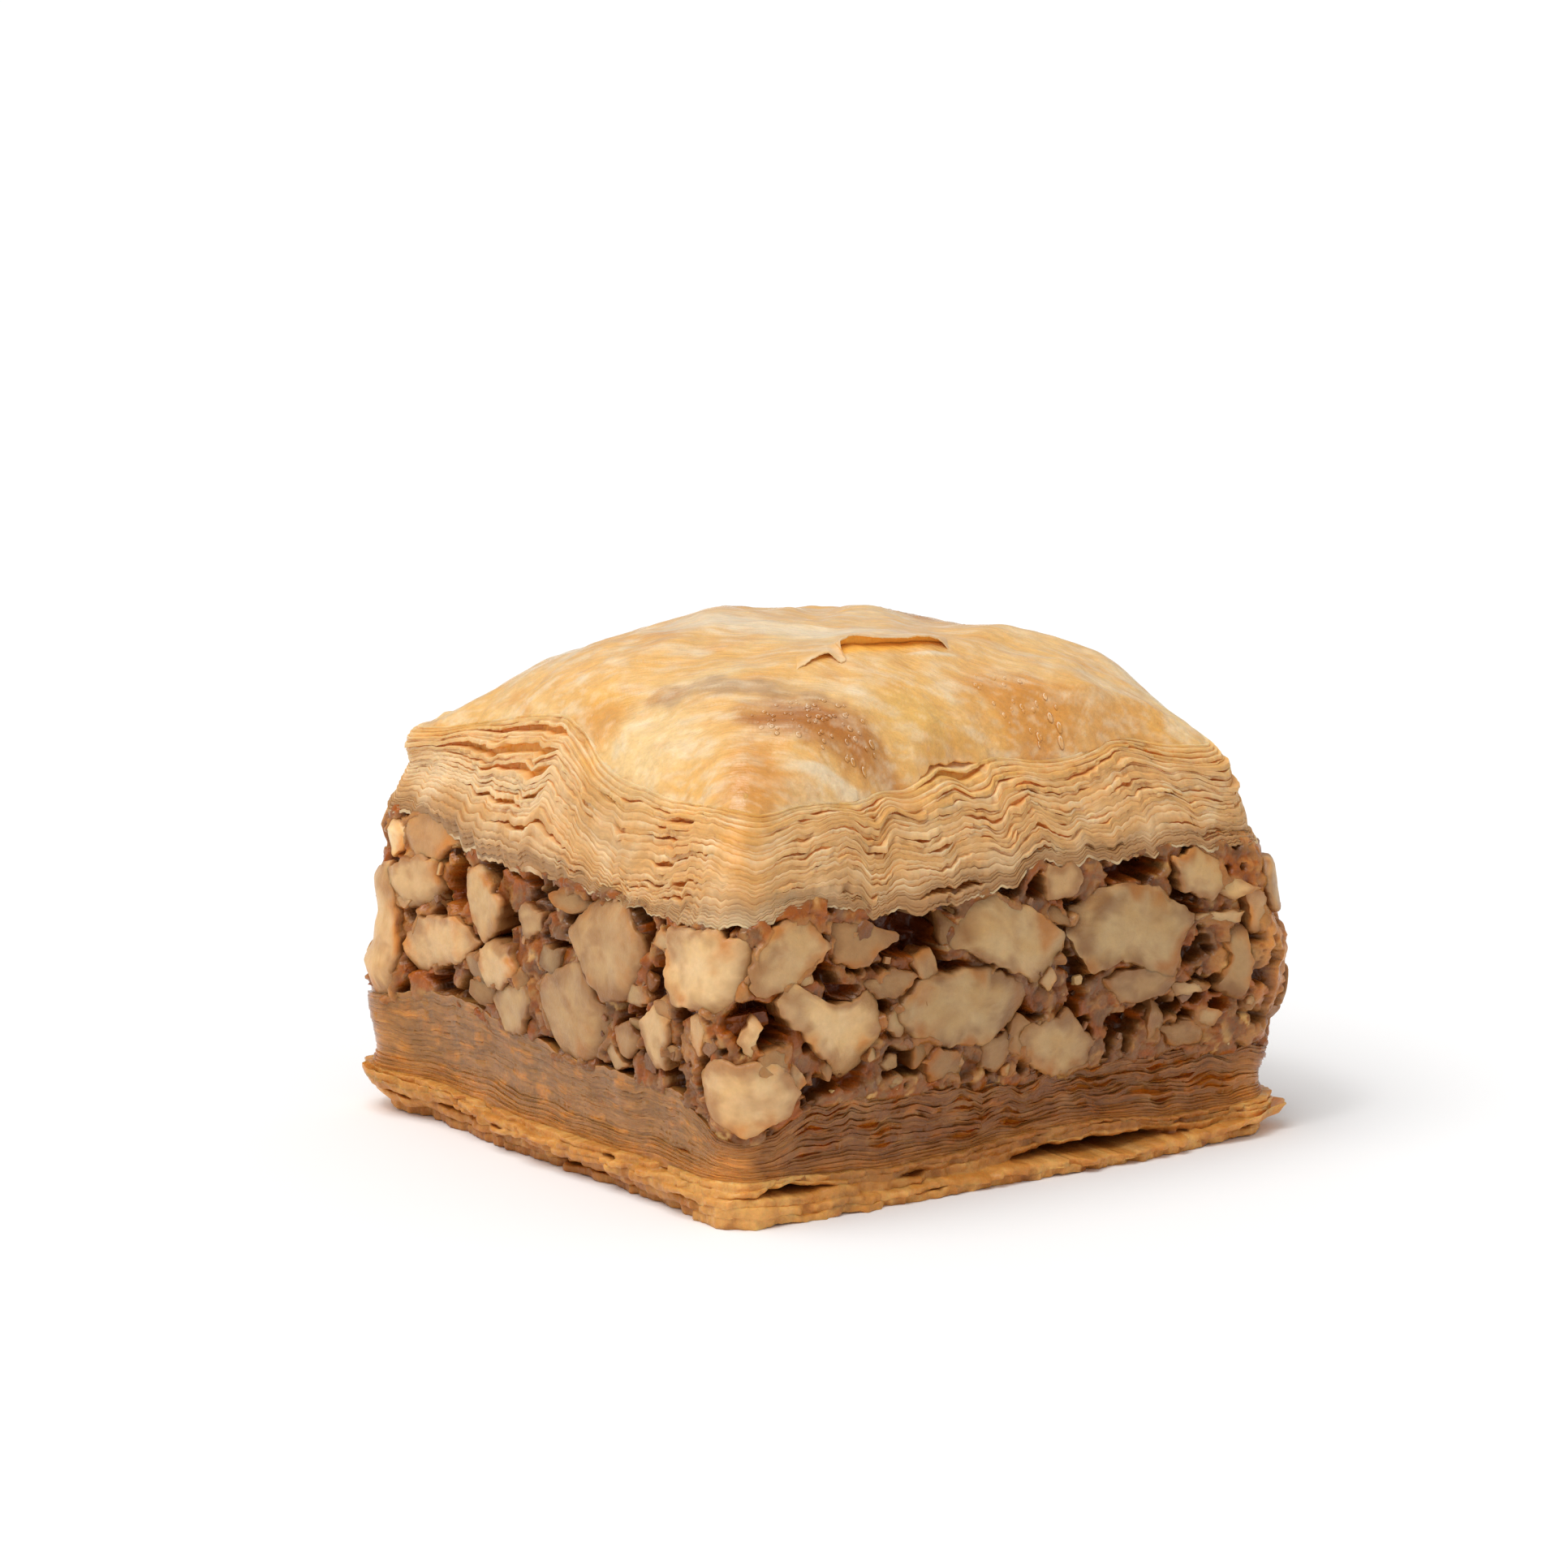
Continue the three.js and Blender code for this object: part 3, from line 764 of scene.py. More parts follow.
# ---- the top stack
TOP_LEAVES = 24
WAVES = table([
    (0, 0.0), (3, -0.35), (6.5, 0.25), (9.4, 0.80), (12.6, 0.1), (15.7, 0.6), (18.3, -0.95), (22.6, 0.8), (24.9, -0.8),
    (28, 0.0), (33, -0.2), (36, 0.25), (41.4, 1.1), (47.0, -0.6), (50, 0.0),
    (60, 0.5), (66, -0.4), (71, 0.5), (77, -0.5), (84, 0.6), (90, -0.3), (96, 0.0),
    (101, 0.6), (107, -0.5), (113, 0.5), (119, -0.4), (127, 0.7), (134, -0.5), (141, 0.4), (146, 0),
    (151, -0.3), (156, 0.1), (162, 0.2), (168, 0.1), (176, -0.3), (180, 0.3), (184, -0.2), (188, 0.25)], blur=0.55)


def top_low(s):
    foot, _ = ring(s)
    x, y = foot[..., 0], foot[..., 1]
    hang = 0.75 * np.minimum(perlin(stack3(x / 1.5, y / 1.5, 0 * x), 36), 0.1)
    fringe = 0.20 * perlin(stack3(x / 0.42, y / 0.42, 0 * x), 37)
    return read(FILLED, s) + 0.30 * round_noise(s, 2.3, 1.0, 31) + 0.20 * round_noise(s, 0.8, 2.0, 32) + hang + fringe


def top_wave(s, f):
    amp = (1 - 0.6 * bump(s, 148, 166, 3)) * smooth(0.04, 0.38, f) * (1 - 0.45 * smooth(0.82, 1.0, f))
    foot, _ = ring(s)
    x, y = foot[..., 0], foot[..., 1]
    lean_ = read(WAVES, s + 2.6 * (f - 0.55))
    small = 0.24 * perlin(stack3(x / 2.6, y / 2.6, f * 2.2), 41) + 0.08 * perlin(stack3(x / 1.1, y / 1.1, f * 5.0), 42)
    return amp * (0.84 * lean_ + small * (1 - 0.85 * bump(s, 147, 174, 3)))


def top_stand(s, z, f):
    foot, _ = ring(s)
    x, y = foot[..., 0], foot[..., 1]
    swell = 0.36 * perlin(stack3(x / 5.0, y / 5.0, f * 1.7), 43) + 0.20 * perlin(stack3(x / 2.4, y / 2.4, f * 2.4), 44)
    fold = 0.6 * bump(s, 152, 172, 3) * np.exp(-((f - 0.20) / 0.09) ** 2)       # a soft fold under the open leaves
    return skin(s, z) - 0.05 + swell * smooth(1.02, 0.8, f) + fold - stepped_back(s, f)


def top_loose(s, f):
    base = mix(0.10, 1.0, smooth(0.16, 0.42, f)) * mix(1.0, 0.75, smooth(0.85, 1.0, f))
    base = base + 0.25 * bump(s, 151, 167) * smooth(0.4, 0.6, f) + 0.25 * bump(s, 179, 188) * smooth(0.05, 0.3, f)
    return base * (1 - 0.8 * near_corner(s, 2.6)) * (1 - 0.35 * bump(s, 27, 48, 3) * smooth(0.75, 0.45, f))


def top_fuse(s, f):
    foot, _ = ring(s)
    x, y = foot[..., 0], foot[..., 1]
    low = 0.85 * smooth(0.34, 0.12, f)
    corner = 0.95 * near_corner(s, 4.4) * smooth(-0.75, -0.05, perlin(stack3(x / 1.6, y / 1.6, f * 6.0), 62))
    patch = 0.90 * smooth(0.08, 0.36, perlin(stack3(x / 5.0, y / 5.0, f * 2.8), 61))
    folds = bump(s, 149, 176, 2) * smooth(0.44, 0.34, f)
    bundle = 0.5 * bump(s, 171, 180, 2)
    return 1 - (1 - low) * (1 - corner) * (1 - patch) * (1 - folds) * (1 - bundle)


def top_share(s, f):
    """Under the open crest the lower leaves are thick; by the near corner they are pinched out."""
    thick = mix(1.0, 1.7, bump(s, 149, 169, 3) * smooth(0.45, 0.25, f))
    return thick * mix(1.0, 0.30, bump(s, 174, 184, 3.5) * smooth(0.50, 0.20, f))


# Pockets between leaves: leaf, from, to, height, where widest, extra depth.
TOP_GAPS = [
    (20, 153.0, 166.4, 0.60, 0.85, 0.92),
    (17, 149.0, 166.2, 0.80, 0.72, 1.05),
    (14, 156.0, 166.4, 0.70, 0.85, 0.95),
    (11, 162.0, 166.4, 0.30, 0.80, 0.92),
    (9, 155.0, 164.0, 0.36, 0.60, 0.92),
    (6, 160.0, 171.0, 0.35, 0.45, 0.8),
    (15, 180.0, 184.0, 0.22, 0.5, 0.6), (12, 181.0, 186.5, 0.22, 0.5, 0.6), (9, 180.5, 184.0, 0.22, 0.5, 0.6),
    (6, 182.5, 187.0, 0.25, 0.5, 0.7), (18, 182.0, 186.0, 0.18, 0.5, 0.5),
    (2, 16.3, 22.6, 0.62, 0.55, 2.0),
    (11, 17.8, 20.6, 0.35, 0.50, 0.7),
    (15, 8.0, 13.5, 0.20, 0.55, 0.30), (17, 12.8, 16.8, 0.22, 0.4, 0.35), (12, 5.2, 8.6, 0.18, 0.5, 0.3),
    (14, 22.0, 26.0, 0.28, 0.35, 0.45), (19, 19.5, 23.5, 0.22, 0.5, 0.35),
    (18, 33.0, 37.0, 0.20, 0.50, 0.35), (20, 40.0, 44.5, 0.18, 0.50, 0.3),
    (13, 36.5, 41.0, 0.20, 0.50, 0.35), (22, 18.4, 26.2, 0.55, 0.55, 1.2),
    (8, 27.0, 33.0, 0.18, 0.50, 0.4),
    (16, 104.0, 116.0, 1.1, 0.60, 2.0), (11, 108.0, 118.0, 0.7, 0.45, 1.6),
    (18, 56.0, 66.0, 0.9, 0.35, 1.8), (13, 58.0, 64.0, 0.6, 0.50, 1.4),
    (8, 78.0, 88.0, 0.6, 0.60, 1.2), (17, 126.0, 136.0, 0.8, 0.40, 1.5),
]

_r = np.random.default_rng(606)                    # short slits wherever two leaves have come apart
for _i in range(105):
    _s0 = _r.uniform(3, 48) if _i < 64 else (_r.uniform(168, 189) if _i < 88 else _r.uniform(50, 146))
    TOP_GAPS.append((int(_r.integers(3, 22)), _s0, _s0 + _r.uniform(1.0, 3.6), _r.uniform(0.06, 0.20), _r.uniform(0.3, 0.7), _r.uniform(0.15, 0.42)))

C_LEAF_LOW = lin(180, 132, 82)
C_LEAF_MID = lin(222, 168, 104)
C_LEAF_HIGH = lin(228, 170, 96)
C_LEAF_PALE_AND_HIGHLIGHT = lin(244, 214, 168)
# the slit and pocket colours are painted shade and glow: orange-brown in the slits, golden and then darker in the deep
# pockets
C_SLIT_SHADE_GLOW = lin(232, 156, 72)
C_POCKET_GLOW = lin(253, 200, 104)
C_POCKET_SHADE = lin(228, 150, 58)
C_GREY = lin(160, 126, 92)
C_YELLOW = lin(230, 162, 70)


def top_paint(s, pts, f, deep, kind, leaf):
    tone = perlin(stack3(pts[..., 0] / 5.0, pts[..., 1] / 5.0, leaf * 1.31), 56)
    col = blend(np.broadcast_to(C_LEAF_LOW, pts.shape), C_LEAF_MID, smooth(0.10, 0.40, f))
    col = blend(col, C_LEAF_HIGH, smooth(0.55, 0.95, f))
    col = blend(col, C_YELLOW, 0.50 * smooth(0.0, 0.55, fbm(pts, 5.0, 3, 51)) * smooth(0.2, 0.8, f))
    col = blend(col, C_LEAF_PALE_AND_HIGHLIGHT, 0.45 * smooth(0.0, 0.5, fbm(pts, 3.2, 3, 55)) * smooth(0.95, 0.6, f) * smooth(0.05, 0.3, f))
    # painted highlight: the leaf edges on the lit left face are painted paler
    lips = bump(s, 146, 168, 2) * smooth(0.30, 0.45, f) * smooth(0.98, 0.85, f) * (kind < 2)
    col = blend(col, C_LEAF_PALE_AND_HIGHLIGHT, 0.55 * lips)
    col = blend(col, C_GREY, 0.55 * smooth(0.0, 0.5, fbm(pts, 3.6, 2, 52)) * smooth(0.34, 0.0, f))
    col = blend(col, C_YELLOW, 0.75 * near_corner(s, 3.0) * smooth(0.25, 0.7, f))
    col = blend(col, C_YELLOW, 0.45 * bump(s, 147, 166, 2) * smooth(0.50, 0.75, f))
    col = blend(col, C_GREY, 0.12 * bump(s, 150, 176, 3) * smooth(0.30, 0.05, f))
    upper, _ = top_colour(pts)
    col = blend(col, upper, 0.65 * smooth(0.72, 0.98, f))
    col = blend(col, C_LEAF_PALE_AND_HIGHLIGHT, 0.8 * smooth(0.05, 0.02, f) * smooth(-0.1, 0.3, fbm(pts, 2.4, 2, 58)))
    col = blend(col, C_LEAF_PALE_AND_HIGHLIGHT, 0.6 * near_corner(s, 6.0) * smooth(0.30, 0.05, f))
    # painted highlight and shade: each edge is painted paler along its crest, where light falls, and darker where it
    # tucks under the next, where shade falls; the torn crests are also paler of themselves
    col = col * (1 + 0.10 * tone + np.where(kind == 1, 0.04, np.where(kind == 0, -0.11, -0.04)))[..., None]
    frayed = smooth(-0.1, 0.4, fbm(pts, 2.6, 2, 57))
    col = blend(col, C_LEAF_PALE_AND_HIGHLIGHT, np.where(kind == 1, 0.40 + 0.50 * frayed, 0.0) * smooth(-0.35, 0.4, tone) * smooth(0.06, 0.26, f))
    col = blend(col, C_SLIT_SHADE_GLOW, np.where(kind == 0, 0.22, 0.0) * smooth(-0.2, 0.5, tone))
    col = col * (1 + 0.07 * fbm(pts, 1.2, 2, 53) - 0.10 * bump(s, 171, 181, 2) * smooth(0.3, 0.6, f))[..., None]
    # painted shade and glow: the deeper a slit or pocket runs, the more it is painted orange-brown, then golden, then
    # dark, for the shade in it and the light glowing through the leaves
    col = blend(col, C_SLIT_SHADE_GLOW, smooth(0.05, 0.45, deep) * 0.85)
    col = blend(col, C_POCKET_GLOW, smooth(0.5, 1.3, deep))
    pocket_shade = np.maximum(smooth(1.5, 2.6, deep) * 0.6, bump(s, 162.5, 167, 1.5) * smooth(0.9, 1.6, deep))
    pocket_shade = np.maximum(pocket_shade, smooth(0.9, 1.6, deep) * bump(s, 16, 23, 1) * smooth(0.25, 0.15, f))
    col = blend(col, C_POCKET_SHADE, pocket_shade)
    wet = 0.25 * smooth(0.15, 0.6, fbm(pts, 3.0, 2, 54)) + 0.4 * smooth(0.3, 1.0, deep)
    return col, np.clip(wet, 0, 0.8)


top_leaves = leafy_wall(
    "top_leaves", 960, TOP_LEAVES, top_low, lambda s: read(RIM, s), top_stand, top_wave, top_loose,
    TOP_GAPS, top_paint, FILO_EDGE, seed=60, share=top_share, fuse=top_fuse, tail=((0.04, -0.9), (1.0, -2.2)),
    hair=(0.03, 0.28), depth=(0.02, 0.18), jitter=0.18, ragged=0.13)

# ---- the soaked bottom stack
LOW_LEAVES = 17
STACK_FOOT = table([
    (0, 3.2), (5, 3.1), (9, 2.6), (14, 2.4), (20, 2.4), (26, 2.9), (34, 3.0), (41, 2.2), (46, 2.2), (50, 2.6), (54, 2.2),
    (62, 2.6), (72, 2.2), (84, 2.6), (96, 2.4), (108, 2.2), (120, 2.7), (134, 2.3),
    (146, 3.1), (153, 3.0), (160, 2.8), (168, 2.7), (178, 2.8), (186, 3.0)], blur=1.0)


def low_high(s):
    return read(PRESSED, s) + 0.1 + 0.38 * round_noise(s, 2.6, 1.0, 33) + 0.16 * round_noise(s, 0.9, 2.0, 34)


def low_wave(s, f):
    foot, _ = ring(s)
    x, y = foot[..., 0], foot[..., 1]
    right = bump(s, 4, 130, 3)
    amp = smooth(0.0, 0.3, f) * (1 - 0.6 * smooth(0.9, 1.0, f)) * (0.40 + 0.60 * right)
    crinkle = right * smooth(0.25, 0.6, f) * smooth(1.02, 0.9, f)
    return (amp * (0.42 * perlin(stack3(x / 3.8, y / 3.8, f * 1.3), 71) + 0.12 * perlin(stack3(x / 1.6, y / 1.6, f * 3.0), 72))
            + crinkle * (0.24 * perlin(stack3(x / 1.7, y / 1.7, f * 2.6), 73) + 0.09 * perlin(stack3(x / 0.8, y / 0.8, f * 5), 77)))


def low_stand(s, z, f):
    foot, _ = ring(s)
    x, y = foot[..., 0], foot[..., 1]
    tucked = 0.55 * smooth(0.90, 1.0, f) * (1 - 0.85 * bump(s, 148, 188, 3))     # the filling hangs over the topmost leaves
    return (skin(s, z) - 0.10 - tucked + 0.25 * perlin(stack3(x / 6, y / 6, f * 1.5), 74)
            + 0.20 * perlin(stack3(x / 2.0, y / 2.0, f * 3), 75) * bump(s, 3, 140, 3)
            + 0.10 * perlin(stack3(x / 2.6, y / 2.6, f * 3), 76))


def low_loose(s, f):
    right = bump(s, 3, 130, 3)
    return mix(0.22, 0.85, right) * mix(0.55, 1.0, smooth(0.25, 0.55, f))


def low_fuse(s, f):
    foot, _ = ring(s)
    x, y = foot[..., 0], foot[..., 1]
    left = bump(s, 146, 190, 2)
    patch = smooth(0.05, 0.35, perlin(stack3(x / 4.5, y / 4.5, f * 2.4), 78))
    return 1 - (1 - 0.85 * patch) * (1 - 0.65 * left) * (1 - 0.7 * near_corner(s, 2.6)) * (1 - 0.4 * smooth(0.4, 0.1, f))


_r = np.random.default_rng(5)
LOW_GAPS = []
for _s0, _w, _k, _h in ((12.0, 3.4, 7, 0.45), (19.5, 2.4, 11, 0.32), (30.0, 3.8, 9, 0.42), (36.5, 4.2, 6, 0.45),
                        (24.5, 2.2, 6, 0.32), (41.0, 3.4, 12, 0.30), (5.0, 3.0, 5, 0.35), (8.0, 2.4, 13, 0.28),
                        (184.0, 2.0, 4, 0.16)):
    LOW_GAPS.append((_k, _s0, _s0 + _w, 0.8 * _h, 0.5, 0.30))
for _i in range(64):
    _s0, _w = _r.uniform(2, 48) if _i < 34 else _r.uniform(50, 140), _r.uniform(1.3, 4.0)
    LOW_GAPS.append((int(_r.integers(4, 16)), _s0, _s0 + _w, _r.uniform(0.10, 0.30), _r.uniform(0.35, 0.65), 0.26))

C_SOAK = lin(138, 82, 32)
C_SOAK_PALE_AND_HIGHLIGHT = lin(164, 112, 58)
C_SOAK_LEFT_LIT = lin(158, 109, 54)
C_SOAK_GOLD = lin(190, 122, 52)
C_SOAK_SLIT_SHADE = lin(146, 80, 24)
C_AMBER_SYRUP_AND_GLOW = lin(200, 112, 22)
C_SOAK_GREY = lin(126, 88, 50)


def low_paint(s, pts, f, deep, kind, leaf):
    left = bump(s, 147, 189, 2)
    col = blend(np.broadcast_to(C_SOAK, pts.shape), C_SOAK_PALE_AND_HIGHLIGHT, smooth(0.05, 0.55, fbm(pts, 4.0, 3, 81)) * 0.8)
    # the left face is painted lighter, partly its own paler soak and partly painted light on the lit side; the right
    # face keeps the darker colour, partly painted shade
    col = blend(col, C_SOAK_LEFT_LIT, 0.8 * left)
    col = blend(col, C_SOAK_GREY, 0.5 * smooth(-0.1, 0.5, fbm(pts, 5.0, 2, 82)) * smooth(0.40, 0.95, f) * (1 - 0.5 * left))
    gold = smooth(0.36, 0.0, f + 0.16 * fbm(pts, 3.0, 2, 83))
    col = blend(col, C_SOAK_GOLD, 0.6 * gold)
    # painted glow: the lower leaves are painted golden at the corners, for light shining through the thin corners
    col = blend(col, lin(226, 150, 70), 0.70 * cornerness(s, 4.0) * smooth(1.1, 0.3, f) * smooth(-0.5, 0.1, fbm(pts, 2.5, 2, 93)))
    col = blend(col, C_SOAK, 0.5 * left * smooth(0.25, 0.6, fbm(pts, 3.0, 3, 87)))
    tone = perlin(stack3(pts[..., 0] / 3.5, pts[..., 1] / 3.5, leaf * 1.31), 86)
    # painted highlight and shade: each edge is painted paler along its crest and darker where it tucks under the next
    col = col * (1 + 0.16 * tone + np.where(kind == 1, 0.10, -0.06))[..., None]
    col = blend(col, C_SOAK_PALE_AND_HIGHLIGHT, np.where(kind == 1, 0.40, 0.0) * smooth(0.0, 0.5, tone))
    streak = smooth(0.30, 0.65, perlin(pts / np.array([1.7, 1.7, 0.26], F32), 84))
    col = blend(col, C_AMBER_SYRUP_AND_GLOW, 0.42 * streak * (1 - 0.4 * left))
    fleck = smooth(0.30, 0.48, perlin(pts / np.array([2.8, 2.8, 0.36], F32) + 4, 89))
    col = blend(col, lin(206, 130, 44), 0.7 * fleck * left)
    light = smooth(0.25, 0.6, perlin(pts / np.array([2.4, 2.4, 0.20], F32) + 9, 88))
    col = blend(col, C_SOAK_PALE_AND_HIGHLIGHT * 1.2, 0.45 * light)
    col = col * (1 + 0.12 * fbm(pts, 1.0, 2, 85))[..., None]
    # painted shade and glow: slits are painted brown, then amber, the deeper they run; the amber also serves for the
    # syrup streaks above
    col = blend(col, C_SOAK_SLIT_SHADE, smooth(0.06, 0.4, deep) * 0.85)
    col = blend(col, C_AMBER_SYRUP_AND_GLOW, smooth(0.16, 0.34, deep) * 0.95)
    wet = 0.30 + 0.50 * smooth(-0.1, 0.5, fbm(pts, 2.2, 2, 86))
    return col, np.clip(wet, 0, 0.9)


soaked_leaves = leafy_wall(
    "soaked_leaves", 940, LOW_LEAVES, lambda s: read(STACK_FOOT, s), low_high, low_stand, low_wave,
    low_loose, LOW_GAPS, low_paint, FILO_SOAKED, seed=90, fuse=low_fuse, jitter=0.14, ragged=0.06, tabs=0.30,
    hair=(0.04, 0.34), depth=(0.02, 0.26), gain=2.2)


# ---- the splayed crust leaves at the foot
C_CRUST = lin(206, 136, 58)
C_CRUST_PALE_AND_HIGHLIGHT = lin(234, 176, 98)
C_CRUST_BROWN_AND_SHADE = lin(148, 82, 26)
C_CRUST_SLIT_SHADE = lin(150, 82, 24)
CRUST_REACH = [                                # how far each leaf splays out, from the lowest up
    table([(0, 0.8), (4, 1.1), (9, 1.7), (14, 1.8), (20, 1.7), (27, 1.7), (33, 1.6), (40, 1.5), (46, 0.9), (50, -0.6), (56, 0.2), (64, 0.6),
           (80, 0.9), (96, 0.6), (110, 1.1), (130, 0.6), (146, -0.8), (152, -0.4), (160, 0.3), (170, 0.2), (178, 0.0), (186, 0.4)]),
    table([(0, 0.9), (5, 1.1), (9, 1.5), (14, 1.6), (20, 1.8), (27, 2.0), (33, 1.9), (38, 1.9), (43, 1.7), (47, 1.4), (50, 1.9),
           (52, 1.1), (56, 0.6), (70, 0.7), (96, 1.0), (110, 0.7), (130, 1.0), (143, 0.4), (146, 0.3), (150, 0.1), (160, 0.3),
           (170, 0.2), (176, 0.5), (186, 0.6)]),
    table([(0, 0.8), (5, 0.8), (9, 1.0), (14, 0.7), (20, 0.5), (24, 0.4), (30, 0.3), (36, 0.3), (41, 0.4), (46, 0.5), (50, 0.6),
           (54, 0.5), (70, 0.4), (96, 0.8), (110, 0.3), (130, 0.5), (143, 0.5), (146, 0.9), (149, 0.7), (155, 0.6), (162, 1.1),
           (172, 1.2), (180, 1.0), (187, 1.0)]),
    table([(0, 0.5), (3, 0.2), (6, 0.3), (9, 0.6), (14, 0.4), (20, 0.3), (27, 0.2), (38, 0.2), (44, 0.3), (50, 0.5), (54, 0.4),
           (70, 0.2), (96, 0.5), (110, 0.2), (130, 0.3), (143, 0.4), (146, 0.8), (149, 0.7), (155, 0.7), (162, 1.2), (172, 1.3),
           (180, 1.0), (187, 0.9)]),
    table([(0, 0.3), (5, 0.3), (14, 0.4), (27, 0.3), (40, 0.3), (50, 0.4), (70, 0.1), (96, 0.3), (130, 0.1), (143, 0.3),
           (146, 0.4), (150, 0.4), (160, 0.6), (172, 0.8), (180, 0.6), (187, 0.5)]),
]
CRUST_LIFT = [                                 # how far each torn edge curls up
    table([(0, 0.0), (40, 0.0), (47, 0.2), (50, 0.3), (54, 0.1), (90, 0.0), (96, 0.3), (100, 0.0), (140, 0.1), (146, 0.5), (150, 0.1)]),
    table([(0, 0.0), (24, -0.1), (38, -0.15), (42, 0.0), (46, 0.5), (50, 1.3), (53, 0.6), (58, 0.1), (70, 0.1), (96, 0.4), (120, 0.1),
           (142, 0.3), (146, 1.0), (149, 0.4), (156, 0.0)]),
    table([(0, 0.0), (8, 0.0), (20, 0.1), (40, 0.1), (50, 0.7), (56, 0.2), (96, 0.3), (120, 0.1), (142, 0.4), (146, 1.5),
           (149, 0.7), (156, 0.1), (165, 0.0)]),
    table([(0, 0.0), (50, 0.3), (56, 0.1), (96, 0.2), (142, 0.4), (146, 1.2), (149, 0.6), (156, 0.2), (165, 0.0)]),
    table([(0, 0.0), (50, 0.1), (96, 0.1), (142, 0.3), (146, 0.8), (150, 0.3), (156, 0.1)]),
]
CRUST_SHARE = (0.86, 0.84, 0.76, 0.60, 0.50)
CRUST_GAPS = [                                 # under-leaf, from, to, height, widest, depth
    (1, 24.5, 42.0, 0.85, 0.45, 3.0), (2, 1.8, 9.5, 0.70, 0.40, 2.6), (0, 12.0, 20.0, 0.30, 0.5, 1.2),
    (2, 12.0, 19.0, 0.28, 0.5, 1.0), (0, 44.0, 49.0, 0.35, 0.6, 1.4), (3, 30.0, 38.0, 0.25, 0.5, 1.0),
    (1, 152.0, 163.0, 0.30, 0.4, 0.9), (0, 168.0, 180.0, 0.36, 0.5, 1.2), (2, 157.0, 166.0, 0.16, 0.5, 0.4),
    (3, 172.0, 181.0, 0.14, 0.5, 0.4), (1, 184.0, 189.0, 0.24, 0.5, 0.8),
    (1, 58.0, 70.0, 0.5, 0.5, 2.0), (2, 76.0, 86.0, 0.4, 0.5, 1.6), (0, 84.0, 94.0, 0.4, 0.5, 1.4), (1, 100.0, 112.0, 0.6, 0.4, 2.0),
    (2, 116.0, 126.0, 0.5, 0.5, 1.6), (0, 122.0, 132.0, 0.4, 0.5, 1.4), (1, 132.0, 141.0, 0.5, 0.6, 1.8),
]


